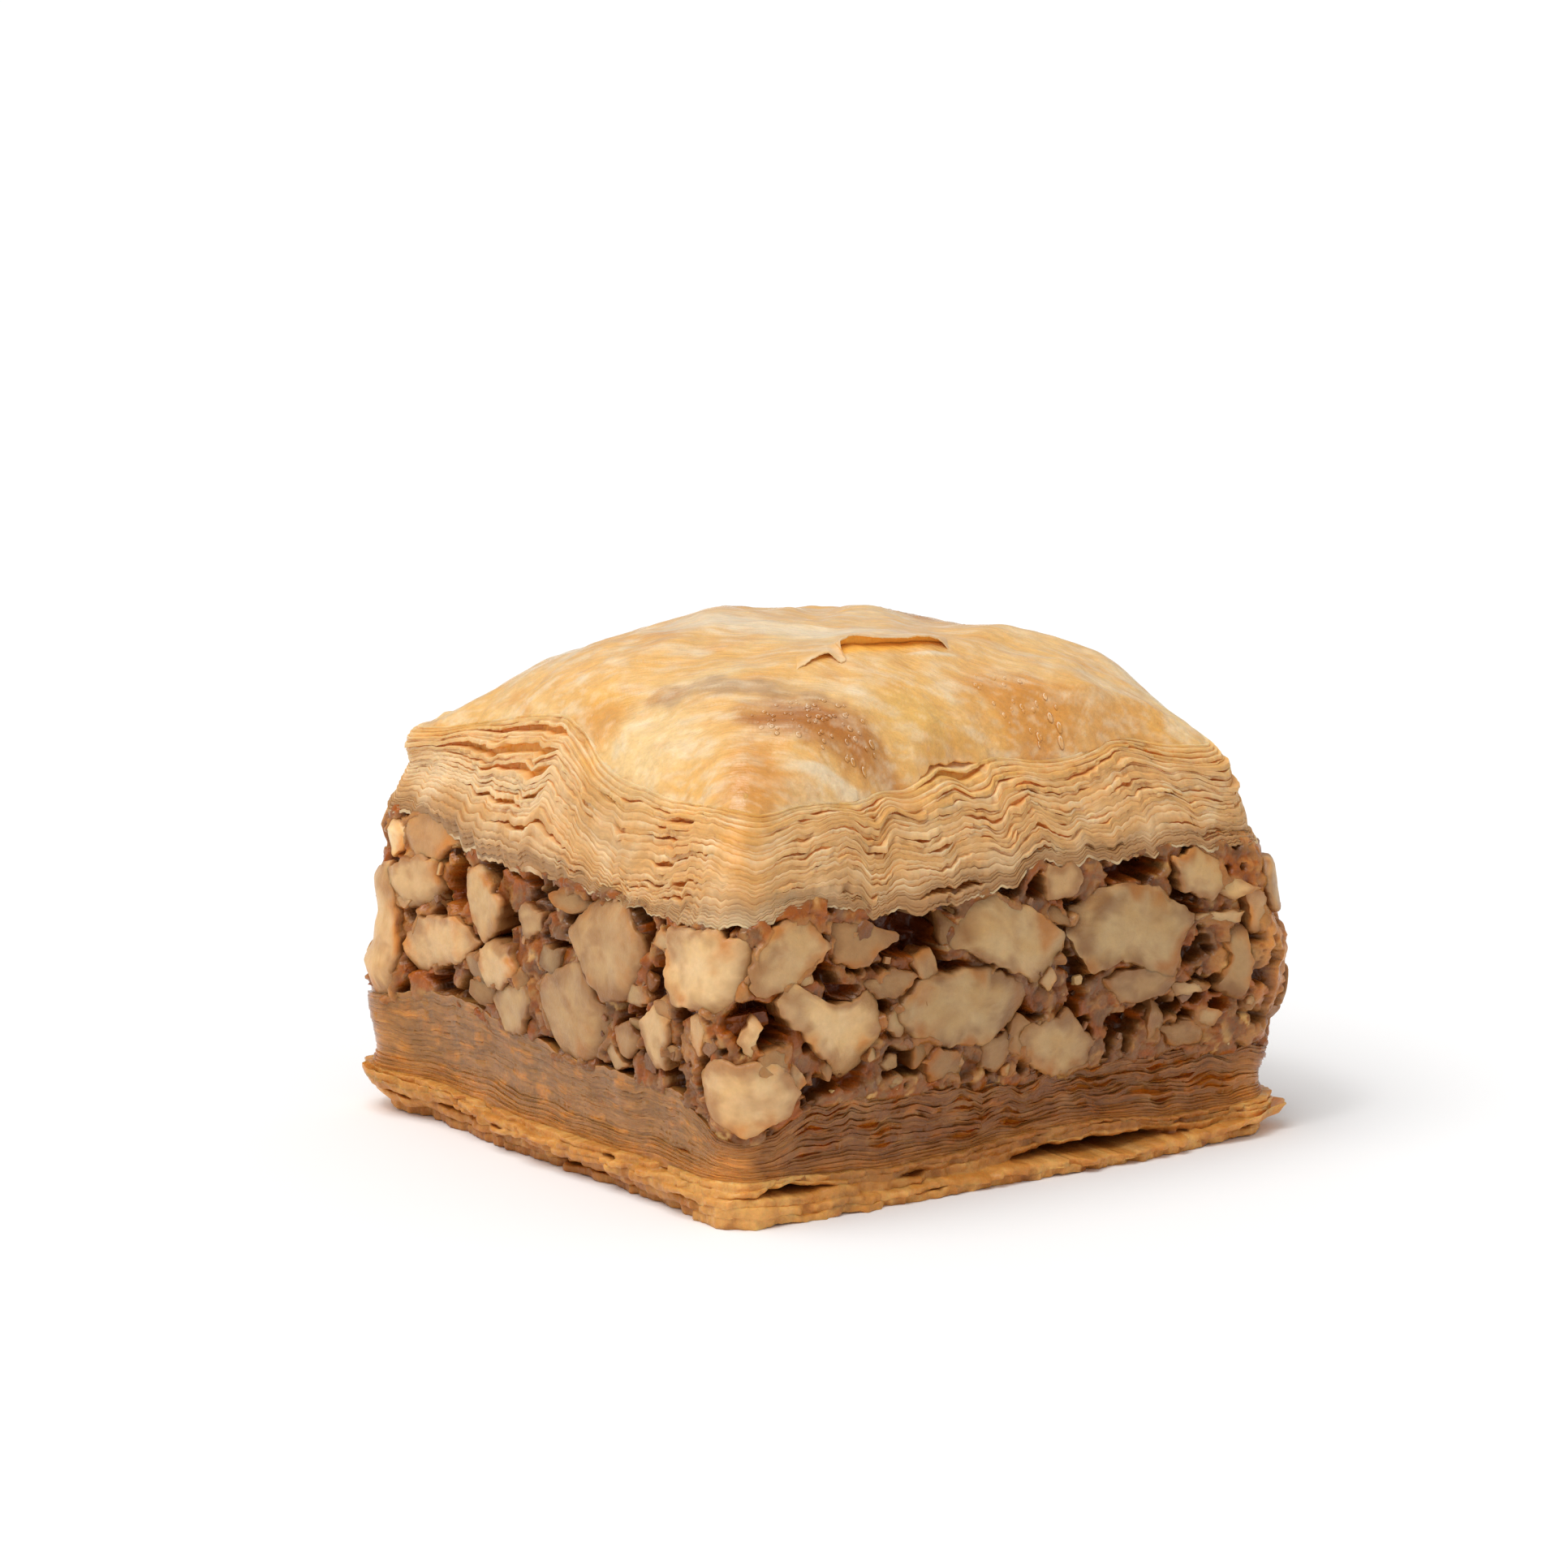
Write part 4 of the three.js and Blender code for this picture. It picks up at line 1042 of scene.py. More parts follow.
def crust_wall(n=920):
    s = lap_points(n, 2.2)
    foot, _ = ring(s)
    x, y = foot[:, 0], foot[:, 1]
    m = len(CRUST_REACH)
    k = np.arange(m)[:, None]
    top = read(STACK_FOOT, s) + 0.25
    th = np.array(CRUST_SHARE)[:, None] * np.exp(0.35 * perlin(stack3(x / 3.4, y / 3.4, k * 1.7), 101)
                                                 + 0.20 * perlin(stack3(x / 1.2, y / 1.2, k * 2.9), 102))
    slit = 0.06 + 0.20 * smooth(-0.1, 0.5, perlin(stack3(x / 3.0, y / 3.0, k * 2.3), 103))
    deep = 0.10 + 0.65 * smooth(-0.1, 0.5, perlin(stack3(x / 3.0, y / 3.0, k * 2.3), 103))
    for kk, s0, s1, high, skew, down in CRUST_GAPS:
        t = (s - s0) / (s1 - s0)
        lens = np.where(t < skew, np.sin(0.5 * math.pi * np.clip(t / skew, 0, 1)) ** 1.2,
                        np.clip(np.cos(0.5 * math.pi * np.clip((t - skew) / (1 - skew), 0, 1)), 0, 1) ** 0.8)
        lens = lens * ((t > 0) & (t < 1)) * np.clip(1 + 0.35 * round_noise(s, 1.1, kk, 104), 0, None)
        slit[kk] += high * lens
        deep[kk] += down * lens ** 0.5
    join = 0.92 * smooth(-0.35, 0.15, perlin(stack3(x / 4.2, y / 4.2, k * 2.1), 118))
    band = bump(s, 9, 46, 3) * np.array([1.0, 0.0, 1.0, 1.0, 0.0])[:, None]     # on the right the leaves are baked into one
    band = np.maximum(band, near_corner(s, 9.0) * np.array([1.0, 1.0, 0.0, 1.0, 0.0])[:, None])
    join = np.maximum(join, band) * np.clip(1.2 - 2.5 * np.maximum(slit - 0.20, 0), 0, 1)
    join = np.maximum(join, 0.80 * bump(s, 150, 189, 3) * np.array([0.6, 1.0, 1.0, 1.0, 1.0])[:, None] * (slit < 0.30))
    slit[-1] = 0
    slit, deep = slit * (1 - 0.85 * join), deep * (1 - 0.95 * join)
    total = th.sum(0) + slit.sum(0)
    th, slit = th * top / total, slit * np.minimum(top / total, 1.0)
    th = th * (top - slit.sum(0)) / th.sum(0)
    z_bot = np.cumsum(th + slit, 0) - th - slit
    z_bot[1:] += 0.16 * perlin(stack3(x / 3.6, y / 3.6, k[1:] * 1.1), 119)
    rows = []
    for i in range(m):
        wide = 0.42 * perlin(stack3(x / 3.2, y / 3.2, 0 * x + i * 3.1), 105)
        torn = 0.36 * perlin(stack3(x / 1.3, y / 1.3, 0 * x + i * 5.3), 106) + 0.14 * perlin(stack3(x / 0.5, y / 0.5, 0 * x + i * 2.7), 107)
        chip = -1.8 * np.maximum(perlin(stack3(x / 1.9, y / 1.9, 0 * x + i * 7.7), 108) - 0.26, 0)
        out = skin(s, z_bot[i]) + read(CRUST_REACH[i], s) - 0.1 + wide + torn + chip
        curl = read(CRUST_LIFT[i], s) + 0.10 * perlin(stack3(x / 2.6, y / 2.6, 0 * x + i), 109)
        if i == 0:
            curl = np.maximum(curl, 0.22 * smooth(0.0, 0.5, perlin(stack3(x / 2.8, y / 2.8, 0 * x + 4), 110)))
        mid, half = z_bot[i] + 0.5 * th[i], 0.5 * th[i]
        for a in (-78, -36, 0, 36, 72):
            c_, s_ = math.cos(math.radians(a)), math.sin(math.radians(a))
            grain = 0.09 * perlin(stack3(x / 0.55, y / 0.55, 0 * x + i * 9 + a / 40), 111)
            rows.append((mid + half * s_ + curl * (0.55 + 0.45 * c_) + 0.5 * grain, out - 0.55 * half * (1 - c_) + grain,
                         0 * s, i, a))
        if i < m - 1:
            nxt = skin(s, z_bot[i + 1]) + read(CRUST_REACH[i + 1], s) - 0.1
            back = np.minimum(out, nxt) - 0.25 * (1 - 0.9 * join[i]) - deep[i]
            up = 0.5 * (curl + read(CRUST_LIFT[i + 1], s))
            rows.append((z_bot[i] + th[i] + 0.10 * slit[i] + 0.5 * up, back, deep[i], i, 100))
            rows.append((z_bot[i] + th[i] + 0.85 * slit[i] + 0.6 * up, back + 0.15 * deep[i], deep[i], i, 100))
    z = np.array([r[0] for r in rows])
    off = np.array([r[1] for r in rows])
    deep_r = np.array([r[2] for r in rows])
    leaf = np.array([r[3] for r in rows], float)[:, None]
    angle = np.array([r[4] for r in rows], float)[:, None]
    # where the leaves have baked together their edges run into each other
    kern = np.array([1, 3, 5, 6, 5, 3, 1], float) / 24
    pad = np.pad(off, ((3, 3), (0, 0)), mode='edge')
    merged = sum(w_ * pad[i_:i_ + len(off)] for i_, w_ in enumerate(kern))
    jj = join[np.minimum(leaf.astype(int).ravel(), m - 1)]
    jj = np.maximum(jj, np.roll(jj, 3, axis=0) * 0.6)
    off = mix(off, merged, jj)
    rough_at = wall(s, off, z)
    smear = 1 - 0.55 * bump(s, 150, 189, 3)
    off = off + smear * (0.16 * perlin(rough_at / 1.1, 121) + 0.11 * perlin(rough_at / 0.5, 122))
    z = z + 0.06 * perlin(rough_at / 0.7, 123)
    z = np.maximum(z, 0.012)
    pts = wall(s, off, z)
    left = bump(s, 148, 190, 2)
    col = blend(np.broadcast_to(C_CRUST, pts.shape), C_CRUST_PALE_AND_HIGHLIGHT, smooth(-0.15, 0.45, fbm(pts, 1.8, 3, 112)) * 0.9)
    col = blend(col, C_CRUST_BROWN_AND_SHADE, 0.75 * (1 - 0.5 * left) * smooth(0.05, 0.5, fbm(pts, 2.4, 3, 113)))
    col = blend(col, lin(176, 108, 42), 0.7 * left * smooth(1.7, 0.4, leaf + 0.6 * fbm(pts, 3.0, 2, 114)))
    col = blend(col, C_CRUST_PALE_AND_HIGHLIGHT, 0.30 * left * smooth(1.6, 2.6, leaf + 0.5 * fbm(pts, 3.0, 2, 126)) * smooth(-0.3, 0.3, fbm(pts, 2.6, 2, 127)))
    col = blend(col, lin(236, 168, 86), 0.65 * cornerness(s, 4.5) * smooth(-0.5, 0.2, fbm(pts, 2.4, 2, 128)))
    # painted highlight and shade: the upper face of each rounded crust edge is painted paler and its underside darker
    col = blend(col, C_CRUST_PALE_AND_HIGHLIGHT, 0.5 * np.clip(1 - np.abs(angle - 36) / 60, 0, 1) * smooth(-0.2, 0.4, fbm(pts, 1.2, 2, 115)))
    col = blend(col, C_CRUST_BROWN_AND_SHADE, 0.30 * (angle < -60) * (1 - jj) * (1 - 0.6 * left))
    upper_ = bump(s, 9, 46, 3) * smooth(1.5, 2.5, leaf)
    col = blend(col, lin(158, 98, 42), 0.7 * upper_)
    col = blend(col, C_CRUST_PALE_AND_HIGHLIGHT, 0.65 * near_corner(s, 9.0) * smooth(-0.4, 0.2, fbm(pts, 2.0, 2, 120)))
    col = col * (1 + 0.14 * fbm(pts, 0.7, 2, 116))[..., None] * (1 - left * np.array([0.16, 0.20, 0.30])[:, None, None]).transpose(1, 2, 0)
    # painted shade: the slits between crust leaves are painted darker the deeper they run
    col = blend(col, C_CRUST_SLIT_SHADE, (angle > 90) * smooth(0.1, 0.5, deep_r))
    col = blend(col, lin(96, 48, 14), (angle > 90) * 0.7 * smooth(1.2, 2.8, deep_r))
    n_rows = len(rows)
    low = wall(s, np.full((1, n), -1.4), np.zeros((1, n)) + 0.0)
    high = wall(s, np.full((1, n), -2.4), top[None] + 0.15)
    verts = np.concatenate([low.reshape(-1, 3), pts.reshape(-1, 3), high.reshape(-1, 3), [[0, 0, 0.0], [0, 0, 3.0]]])
    colour = np.concatenate([col[:1].reshape(-1, 3), col.reshape(-1, 3), col[-1:].reshape(-1, 3),
                             np.broadcast_to(C_CRUST_BROWN_AND_SHADE, (2, 3))])
    wet = np.concatenate([np.full(n, 0.1), (0.15 + 0.25 * smooth(0.0, 0.5, fbm(pts, 2.0, 2, 117))).ravel(), np.full(n + 2, 0.1)])
    quads = grid_faces(n_rows + 2, n)
    hub = (n_rows + 2) * n
    tris = np.concatenate([fan(0, n, hub, False), fan((n_rows + 1) * n, n, hub + 1, True)])
    return add_mesh("bottom_crust", verts, quads, tris, colour, wet, CRUST, sharp=75)


bottom_crust = crust_wall()

# ---- the top leaf
GRID = 240


def out_map(t):
    """Spaces the rows of the top leaf evenly along its steep shoulder."""
    m = np.linspace(0, 1, 4001)
    h = 10 * np.sqrt(1 - m ** DOME_POWER)
    d = np.hypot(np.diff(m) * 22, np.diff(h) * 0.75)
    acc = np.concatenate([[0], np.cumsum(d)])
    return np.interp(t * acc[-1], acc, m)


def rim_edge(s, torn=False):
    return wall(s, rim_offset(s, torn), read(RIM, s))


def lifted(x, y, edge, r):
    """How far the leaf has risen from its own edge: 0 there, 1 at the crown."""
    e = dome_rise(edge[..., 0], edge[..., 1]) * r ** 6
    return np.clip((dome_rise(x, y) - e) / (1 - e), 0, 1)


g = np.linspace(-1, 1, GRID + 1)
A, B = np.meshgrid(g, g, indexing="xy")          # A along x, B along y
M = np.maximum(np.abs(A), np.abs(B))
Ms = np.where(M < 1e-9, 1e-9, M)
S_top = place_of(A / Ms, B / Ms)
R = out_map(M)


def notch(s):
    """Where the top leaf is torn back from the rim."""
    s = np.mod(s, PER)
    rag = 0.5 * round_noise(s, 0.9, 0, 150)
    a = smooth(18.2, 20.4, s + rag) * smooth(26.2, 23.8, s + rag) * (0.8 + 0.4 * round_noise(s, 1.1, 3, 151))
    b = smooth(112, 114, s + rag) * smooth(122, 119, s + rag)
    return a + b


edge = rim_edge(S_top)
X, Y = edge[..., 0] * R, edge[..., 1] * R
rise = lifted(X, Y, edge, R)
rim_z = read(RIM, S_top) + top_wave(S_top, 1.0) - 0.02
ragged_edge = (rim_edge(S_top, True) - edge) * smooth(0.955, 1.0, R)[..., None]
Z = dome_height(X, Y, rim_z, rise)
X, Y = X + ragged_edge[..., 0], Y + ragged_edge[..., 1]
# torn back: the leaf's edge climbs the shoulder
torn = notch(S_top)
pull = torn * smooth(0.88, 1.0, R)
X, Y = X * (1 - 0.022 * pull), Y * (1 - 0.022 * pull)
Z = Z + 0.75 * pull
# a thin edge that hangs and frays
fray = -0.06 + 0.13 * perlin(stack3(X / 1.6, Y / 1.6, 0 * X), 152) + 0.05 * perlin(stack3(X / 0.5, Y / 0.5, 0 * X), 151)
Z = Z + fray * smooth(0.965, 1.0, R)
P_top = stack3(X, Y, Z)
col, wet = top_colour(P_top)
# small bubbles where the syrup lies
bub = perlin(stack3(X / 0.42, Y / 0.42, Z / 0.42), 166)
Z = Z + 0.06 * smooth(0.35, 0.7, bub) * smooth(0.3, 0.7, wet)
shoulder = smooth(0.985, 1.0, R)
col = blend(col, C_LEAF_PALE_AND_HIGHLIGHT, 0.5 * shoulder * smooth(-0.2, 0.5, fbm(P_top, 1.5, 2, 158)))
col = blend(col, C_TOP_ORANGE, 0.5 * pull)
# light shows through the leaf where it has torn open on the crown
behind_slot = crest_line(X, Y, -9.4, -9.2, 4.2, -10.2, 0.9)
col = blend(col, lin(250, 186, 84), 0.95 * smooth(0.2, 0.7, behind_slot))
col = blend(col, C_TOP_MILK, 0.8 * smooth(0.3, 0.8, crest_line(X, Y, -0.8, -11.2, 4.4, -12.1, 0.30)))
P_top = stack3(X, Y, Z)
U, V = 0.70 * X - 0.71 * Y, 0.71 * X + 0.70 * Y
flow_top = stack3(U, Z * 4, V)

idx = np.arange((GRID + 1) ** 2).reshape(GRID + 1, GRID + 1)
quads = np.stack([idx[:-1, :-1], idx[:-1, 1:], idx[1:, 1:], idx[1:, :-1]], axis=-1).reshape(-1, 4)
border = np.concatenate([idx[0, :-1], idx[:-1, -1], idx[-1, :0:-1], idx[:0:-1, 0]])
nb = len(border)
Pb = P_top.reshape(-1, 3)[border]
_, ob = ring(S_top.ravel()[border])
first = (GRID + 1) ** 2
under = Pb.copy()
under[:, 2] -= 0.15
under[:, :2] -= 0.03 * ob
inner = Pb.copy()
inner[:, :2] *= 0.93
inner[:, 2] -= 0.30
verts = np.concatenate([P_top.reshape(-1, 3), under, inner, [[0, 0, 26.0]]])
bi, bj = np.arange(nb), (np.arange(nb) + 1) % nb
quads = np.concatenate([
    quads,
    np.stack([border[bj], border[bi], first + bi, first + bj], axis=-1),
    np.stack([first + bj, first + bi, first + nb + bi, first + nb + bj], axis=-1)])
tris = np.stack([first + nb + bj, first + nb + bi, np.full(nb, first + 2 * nb)], axis=-1)
ccol = np.concatenate([col.reshape(-1, 3), np.broadcast_to(C_LEAF_HIGH, (nb, 3)), np.broadcast_to(C_SLIT_SHADE_GLOW, (nb + 1, 3))])
cwet = np.concatenate([wet.ravel(), np.full(nb, 0.2), np.full(nb + 1, 0.3)])
flow_all = np.concatenate([flow_top.reshape(-1, 3), flow_top.reshape(-1, 3)[border], flow_top.reshape(-1, 3)[border], [[0, 0, 0]]])
top_leaf = add_mesh("top_leaf", verts, quads, tris, ccol, cwet, FILO_TOP, sharp=75, flow=flow_all)


def on_top(x, y):
    """Height of the finished top leaf at a point of the plan."""
    s, _ = plan_of(x, y)
    e = rim_edge(s)
    r = np.clip(np.hypot(x, y) / np.maximum(np.hypot(e[..., 0], e[..., 1]), 1e-6), 0, 1)
    return dome_height(x, y, read(RIM, s) + top_wave(s, 1.0) - 0.02, lifted(x, y, e, r))


# ---- the walnut filling: chopped bits and syrup, and the larger nuts in it
ROWS, COLS = 96, 850
CAVITIES = [
    # place, height, half-width, half-height, depth
    (15.9, 20.2, 3.2, 1.9, 4.5), (13.2, 20.9, 1.6, 1.0, 3.5), (17.6, 18.6, 1.6, 1.1, 4.0),
    (7.3, 18.3, 1.1, 0.5, 2.2), (2.3, 15.2, 2.9, 1.5, 3.4), (37.2, 21.9, 2.9, 0.8, 3.0), (27.9, 21.9, 1.0, 0.9, 2.6),
    (42.2, 18.3, 1.4, 0.8, 2.4), (19.3, 17.0, 1.8, 0.4, 2.4), (25.9, 12.6, 1.0, 1.0, 2.0), (9.5, 16.6, 1.0, 0.5, 1.8),
    (10.2, 9.8, 1.0, 0.6, 1.4), (36.5, 10.6, 1.9, 0.6, 1.8), (45.0, 10.6, 1.0, 0.7, 1.8), (31.4, 13.2, 0.9, 0.7, 1.6),
    (190.8, 22.6, 2.2, 0.7, 2.6), (156.9, 19.3, 1.7, 1.7, 3.0), (167.1, 21.6, 1.1, 0.6, 2.4), (181.9, 20.4, 1.0, 1.9, 3.6),
    (181.3, 14.6, 1.5, 0.9, 2.6), (154.8, 11.8, 1.9, 0.35, 1.6), (178.9, 12.6, 0.7, 1.9, 2.4), (170.8, 17.6, 1.6, 0.35, 1.4),
    (151.6, 17.6, 1.2, 0.6, 1.6), (164.9, 17.0, 0.5, 1.2, 1.4), (183.9, 18.0, 0.5, 2.4, 2.0),
]
_r = np.random.default_rng(77)
for _i in range(40):
    _s = _r.uniform(52, 144)
    _lo, _hi = float(read(PRESSED, _s)), float(read(FILLED, _s))
    CAVITIES.append((_s, _r.uniform(_lo + 1.5, _hi - 0.6), _r.uniform(0.6, 2.2), _r.uniform(0.4, 1.3), _r.uniform(1.2, 3.6)))

C_NUT = lin(236, 198, 144)
C_NUT_WARM = lin(226, 180, 116)
C_CREAM = lin(224, 178, 116)
C_TAN = lin(186, 130, 76)
C_BIT_BROWN = lin(156, 96, 44)
C_MAUVE = lin(144, 100, 66)
C_MAUVE_DK = lin(108, 68, 40)
C_SYRUP = lin(168, 88, 16)
C_SKIN = lin(120, 60, 16)
C_RIM = lin(190, 122, 58)
C_CAVE_SHADE = lin(96, 40, 8)
C_PIT_SHADE = lin(128, 62, 8)
C_STAIN = lin(174, 124, 76)
C_STAIN_OR = lin(206, 130, 54)
C_CAVE_AMBER_SHADE = lin(168, 82, 14)
C_PLUM = lin(118, 84, 62)

# Stained places in the bed: place, height, half-width, half-height, colour. The first, golden at the right corner, is
# painted glow for light shining through the thin corner.
STAINS = [
    (49.6, 16.0, 2.6, 7.5, lin(232, 160, 88)), (31.6, 16.8, 1.0, 1.7, C_MAUVE_DK), (42.8, 19.8, 1.4, 1.1, C_MAUVE_DK),
    (38.0, 13.2, 5.0, 0.9, C_MAUVE), (13.8, 11.8, 1.0, 2.6, C_MAUVE), (43.5, 11.0, 2.2, 1.4, C_SYRUP),
    (166.0, 15.6, 1.4, 1.0, C_SYRUP), (156.9, 19.3, 2.6, 2.6, lin(196, 120, 44)), (182.0, 16.0, 1.4, 3.6, C_SYRUP),
    (166.5, 19.0, 3.2, 2.0, C_MAUVE), (170.0, 11.8, 1.0, 2.6, C_MAUVE), (180.6, 12.0, 2.4, 2.2, C_MAUVE),
    (4.6, 13.6, 1.6, 0.8, C_SYRUP), (2.2, 15.4, 3.2, 2.0, C_SYRUP), (15.0, 18.0, 3.4, 1.4, C_SYRUP),
    (187.5, 12.6, 2.2, 2.0, C_TAN), (10.5, 19.8, 3.0, 1.2, C_TAN), (155.0, 15.0, 5.0, 2.0, C_TAN),
]


# Painted shade and light round the piece: how much darker or lighter the filling is painted at each place, against its
# own colours.
SHADE = table([
    (0, 1.04), (3, 0.98), (7, 0.92), (14, 0.86), (30, 0.86), (44, 0.90), (50, 1.00), (56, 0.90), (96, 0.90), (140, 0.90),
    (146, 1.12), (152, 1.05), (160, 0.86), (176, 0.80), (184, 0.86), (188, 0.97)], blur=1.0)


def cavity_depth(s, z):
    total = np.zeros(np.broadcast(s, z).shape)
    foot, _ = ring(s)
    x, y = foot[..., 0], foot[..., 1]
    rag = 0.40 * perlin(stack3(x / 1.3, y / 1.3, z / 1.3), 182) + 0.26 * perlin(stack3(x / 0.6, y / 0.6, z / 0.6), 183)
    for cs, cz, hw, hh, d in CAVITIES:
        ds = np.mod(s - cs + PER / 2, PER) - PER / 2
        r = np.hypot(ds / hw, (z - cz) / hh) + rag
        total = np.maximum(total, d * smooth(1.12, 0.80, r))
    return total


def bit_colours(tone, which):
    """Colours of chopped bits: `which` and `tone` run from 0 to 1."""
    c = blend(np.broadcast_to(C_MAUVE, which.shape + (3,)), C_TAN, smooth(0.44, 0.48, which))
    c = blend(c, C_CREAM, smooth(0.70, 0.74, which))
    c = blend(c, C_BIT_BROWN, smooth(0.80, 0.84, which))
    c = blend(c, C_MAUVE_DK, smooth(0.92, 0.96, which))
    return c * (0.80 + 0.40 * tone)[..., None]


def stained(col, s, z, pts):
    for i, (cs, cz, hw, hh, c) in enumerate(STAINS):
        ds = np.mod(s - cs + PER / 2, PER) - PER / 2
        r = np.hypot(ds / hw, (z - cz) / hh) + 0.5 * fbm(pts, 1.5, 2, 230 + i)
        col = blend(col, c, 0.7 * smooth(1.2, 0.5, r))
    return col


def cut_outline(corners, n, seed, jag=0.16, rounds=2):
    """The edge of a chopped piece: its corners joined, a little rounded, and ragged."""
    c = np.array(corners, float)
    nxt = np.roll(c, -1, axis=0)
    if (c[:, 0] * nxt[:, 1] - nxt[:, 0] * c[:, 1]).sum() < 0:
        c = c[::-1]
        nxt = np.roll(c, -1, axis=0)
    acc = np.concatenate([[0], np.cumsum(np.hypot(*(nxt - c).T))])
    t = np.arange(n) / n * acc[-1]
    closed = np.vstack([c, c[:1]])
    p = np.stack([np.interp(t, acc, closed[:, 0]), np.interp(t, acc, closed[:, 1])], axis=-1)
    for _ in range(rounds):
        p = 0.25 * np.roll(p, 1, axis=0) + 0.5 * p + 0.25 * np.roll(p, -1, axis=0)
    tan = np.roll(p, -1, axis=0) - np.roll(p, 1, axis=0)
    nrm = np.stack([tan[:, 1], -tan[:, 0]], axis=-1) / (np.hypot(*tan.T)[:, None] + 1e-9)
    q = stack3(p[:, 0], p[:, 1], 0 * p[:, 0] + seed * 1.3)
    wob = jag * (1.5 * perlin(q / 2.6, 239) + 1.6 * perlin(q / 1.1, 240) + 0.9 * perlin(q / 0.45, 241)
                 - 2.6 * np.maximum(perlin(q / 0.9, 242) - 0.28, 0))
    return p + nrm * wob[:, None]


def gap_to(poly, u, v):
    """Distance to the edge of an outline, below 0 inside it."""
    a, b = poly, np.roll(poly, -1, axis=0)
    e = b - a
    w = np.stack([u, v], axis=-1)[:, None, :] - a
    t = np.clip((w * e).sum(-1) / ((e * e).sum(-1) + 1e-9), 0, 1)
    d = np.sqrt(((w - t[..., None] * e) ** 2).sum(-1)).min(1)
    over = (a[:, 1] > v[:, None]) != (b[:, 1] > v[:, None])
    at_ = a[:, 0] + (v[:, None] - a[:, 1]) * e[:, 0] / np.where(np.abs(e[:, 1]) < 1e-9, 1e-9, e[:, 1])
    inside = (over & (u[:, None] < at_)).sum(1) % 2 == 1
    return np.where(inside, -d, d)


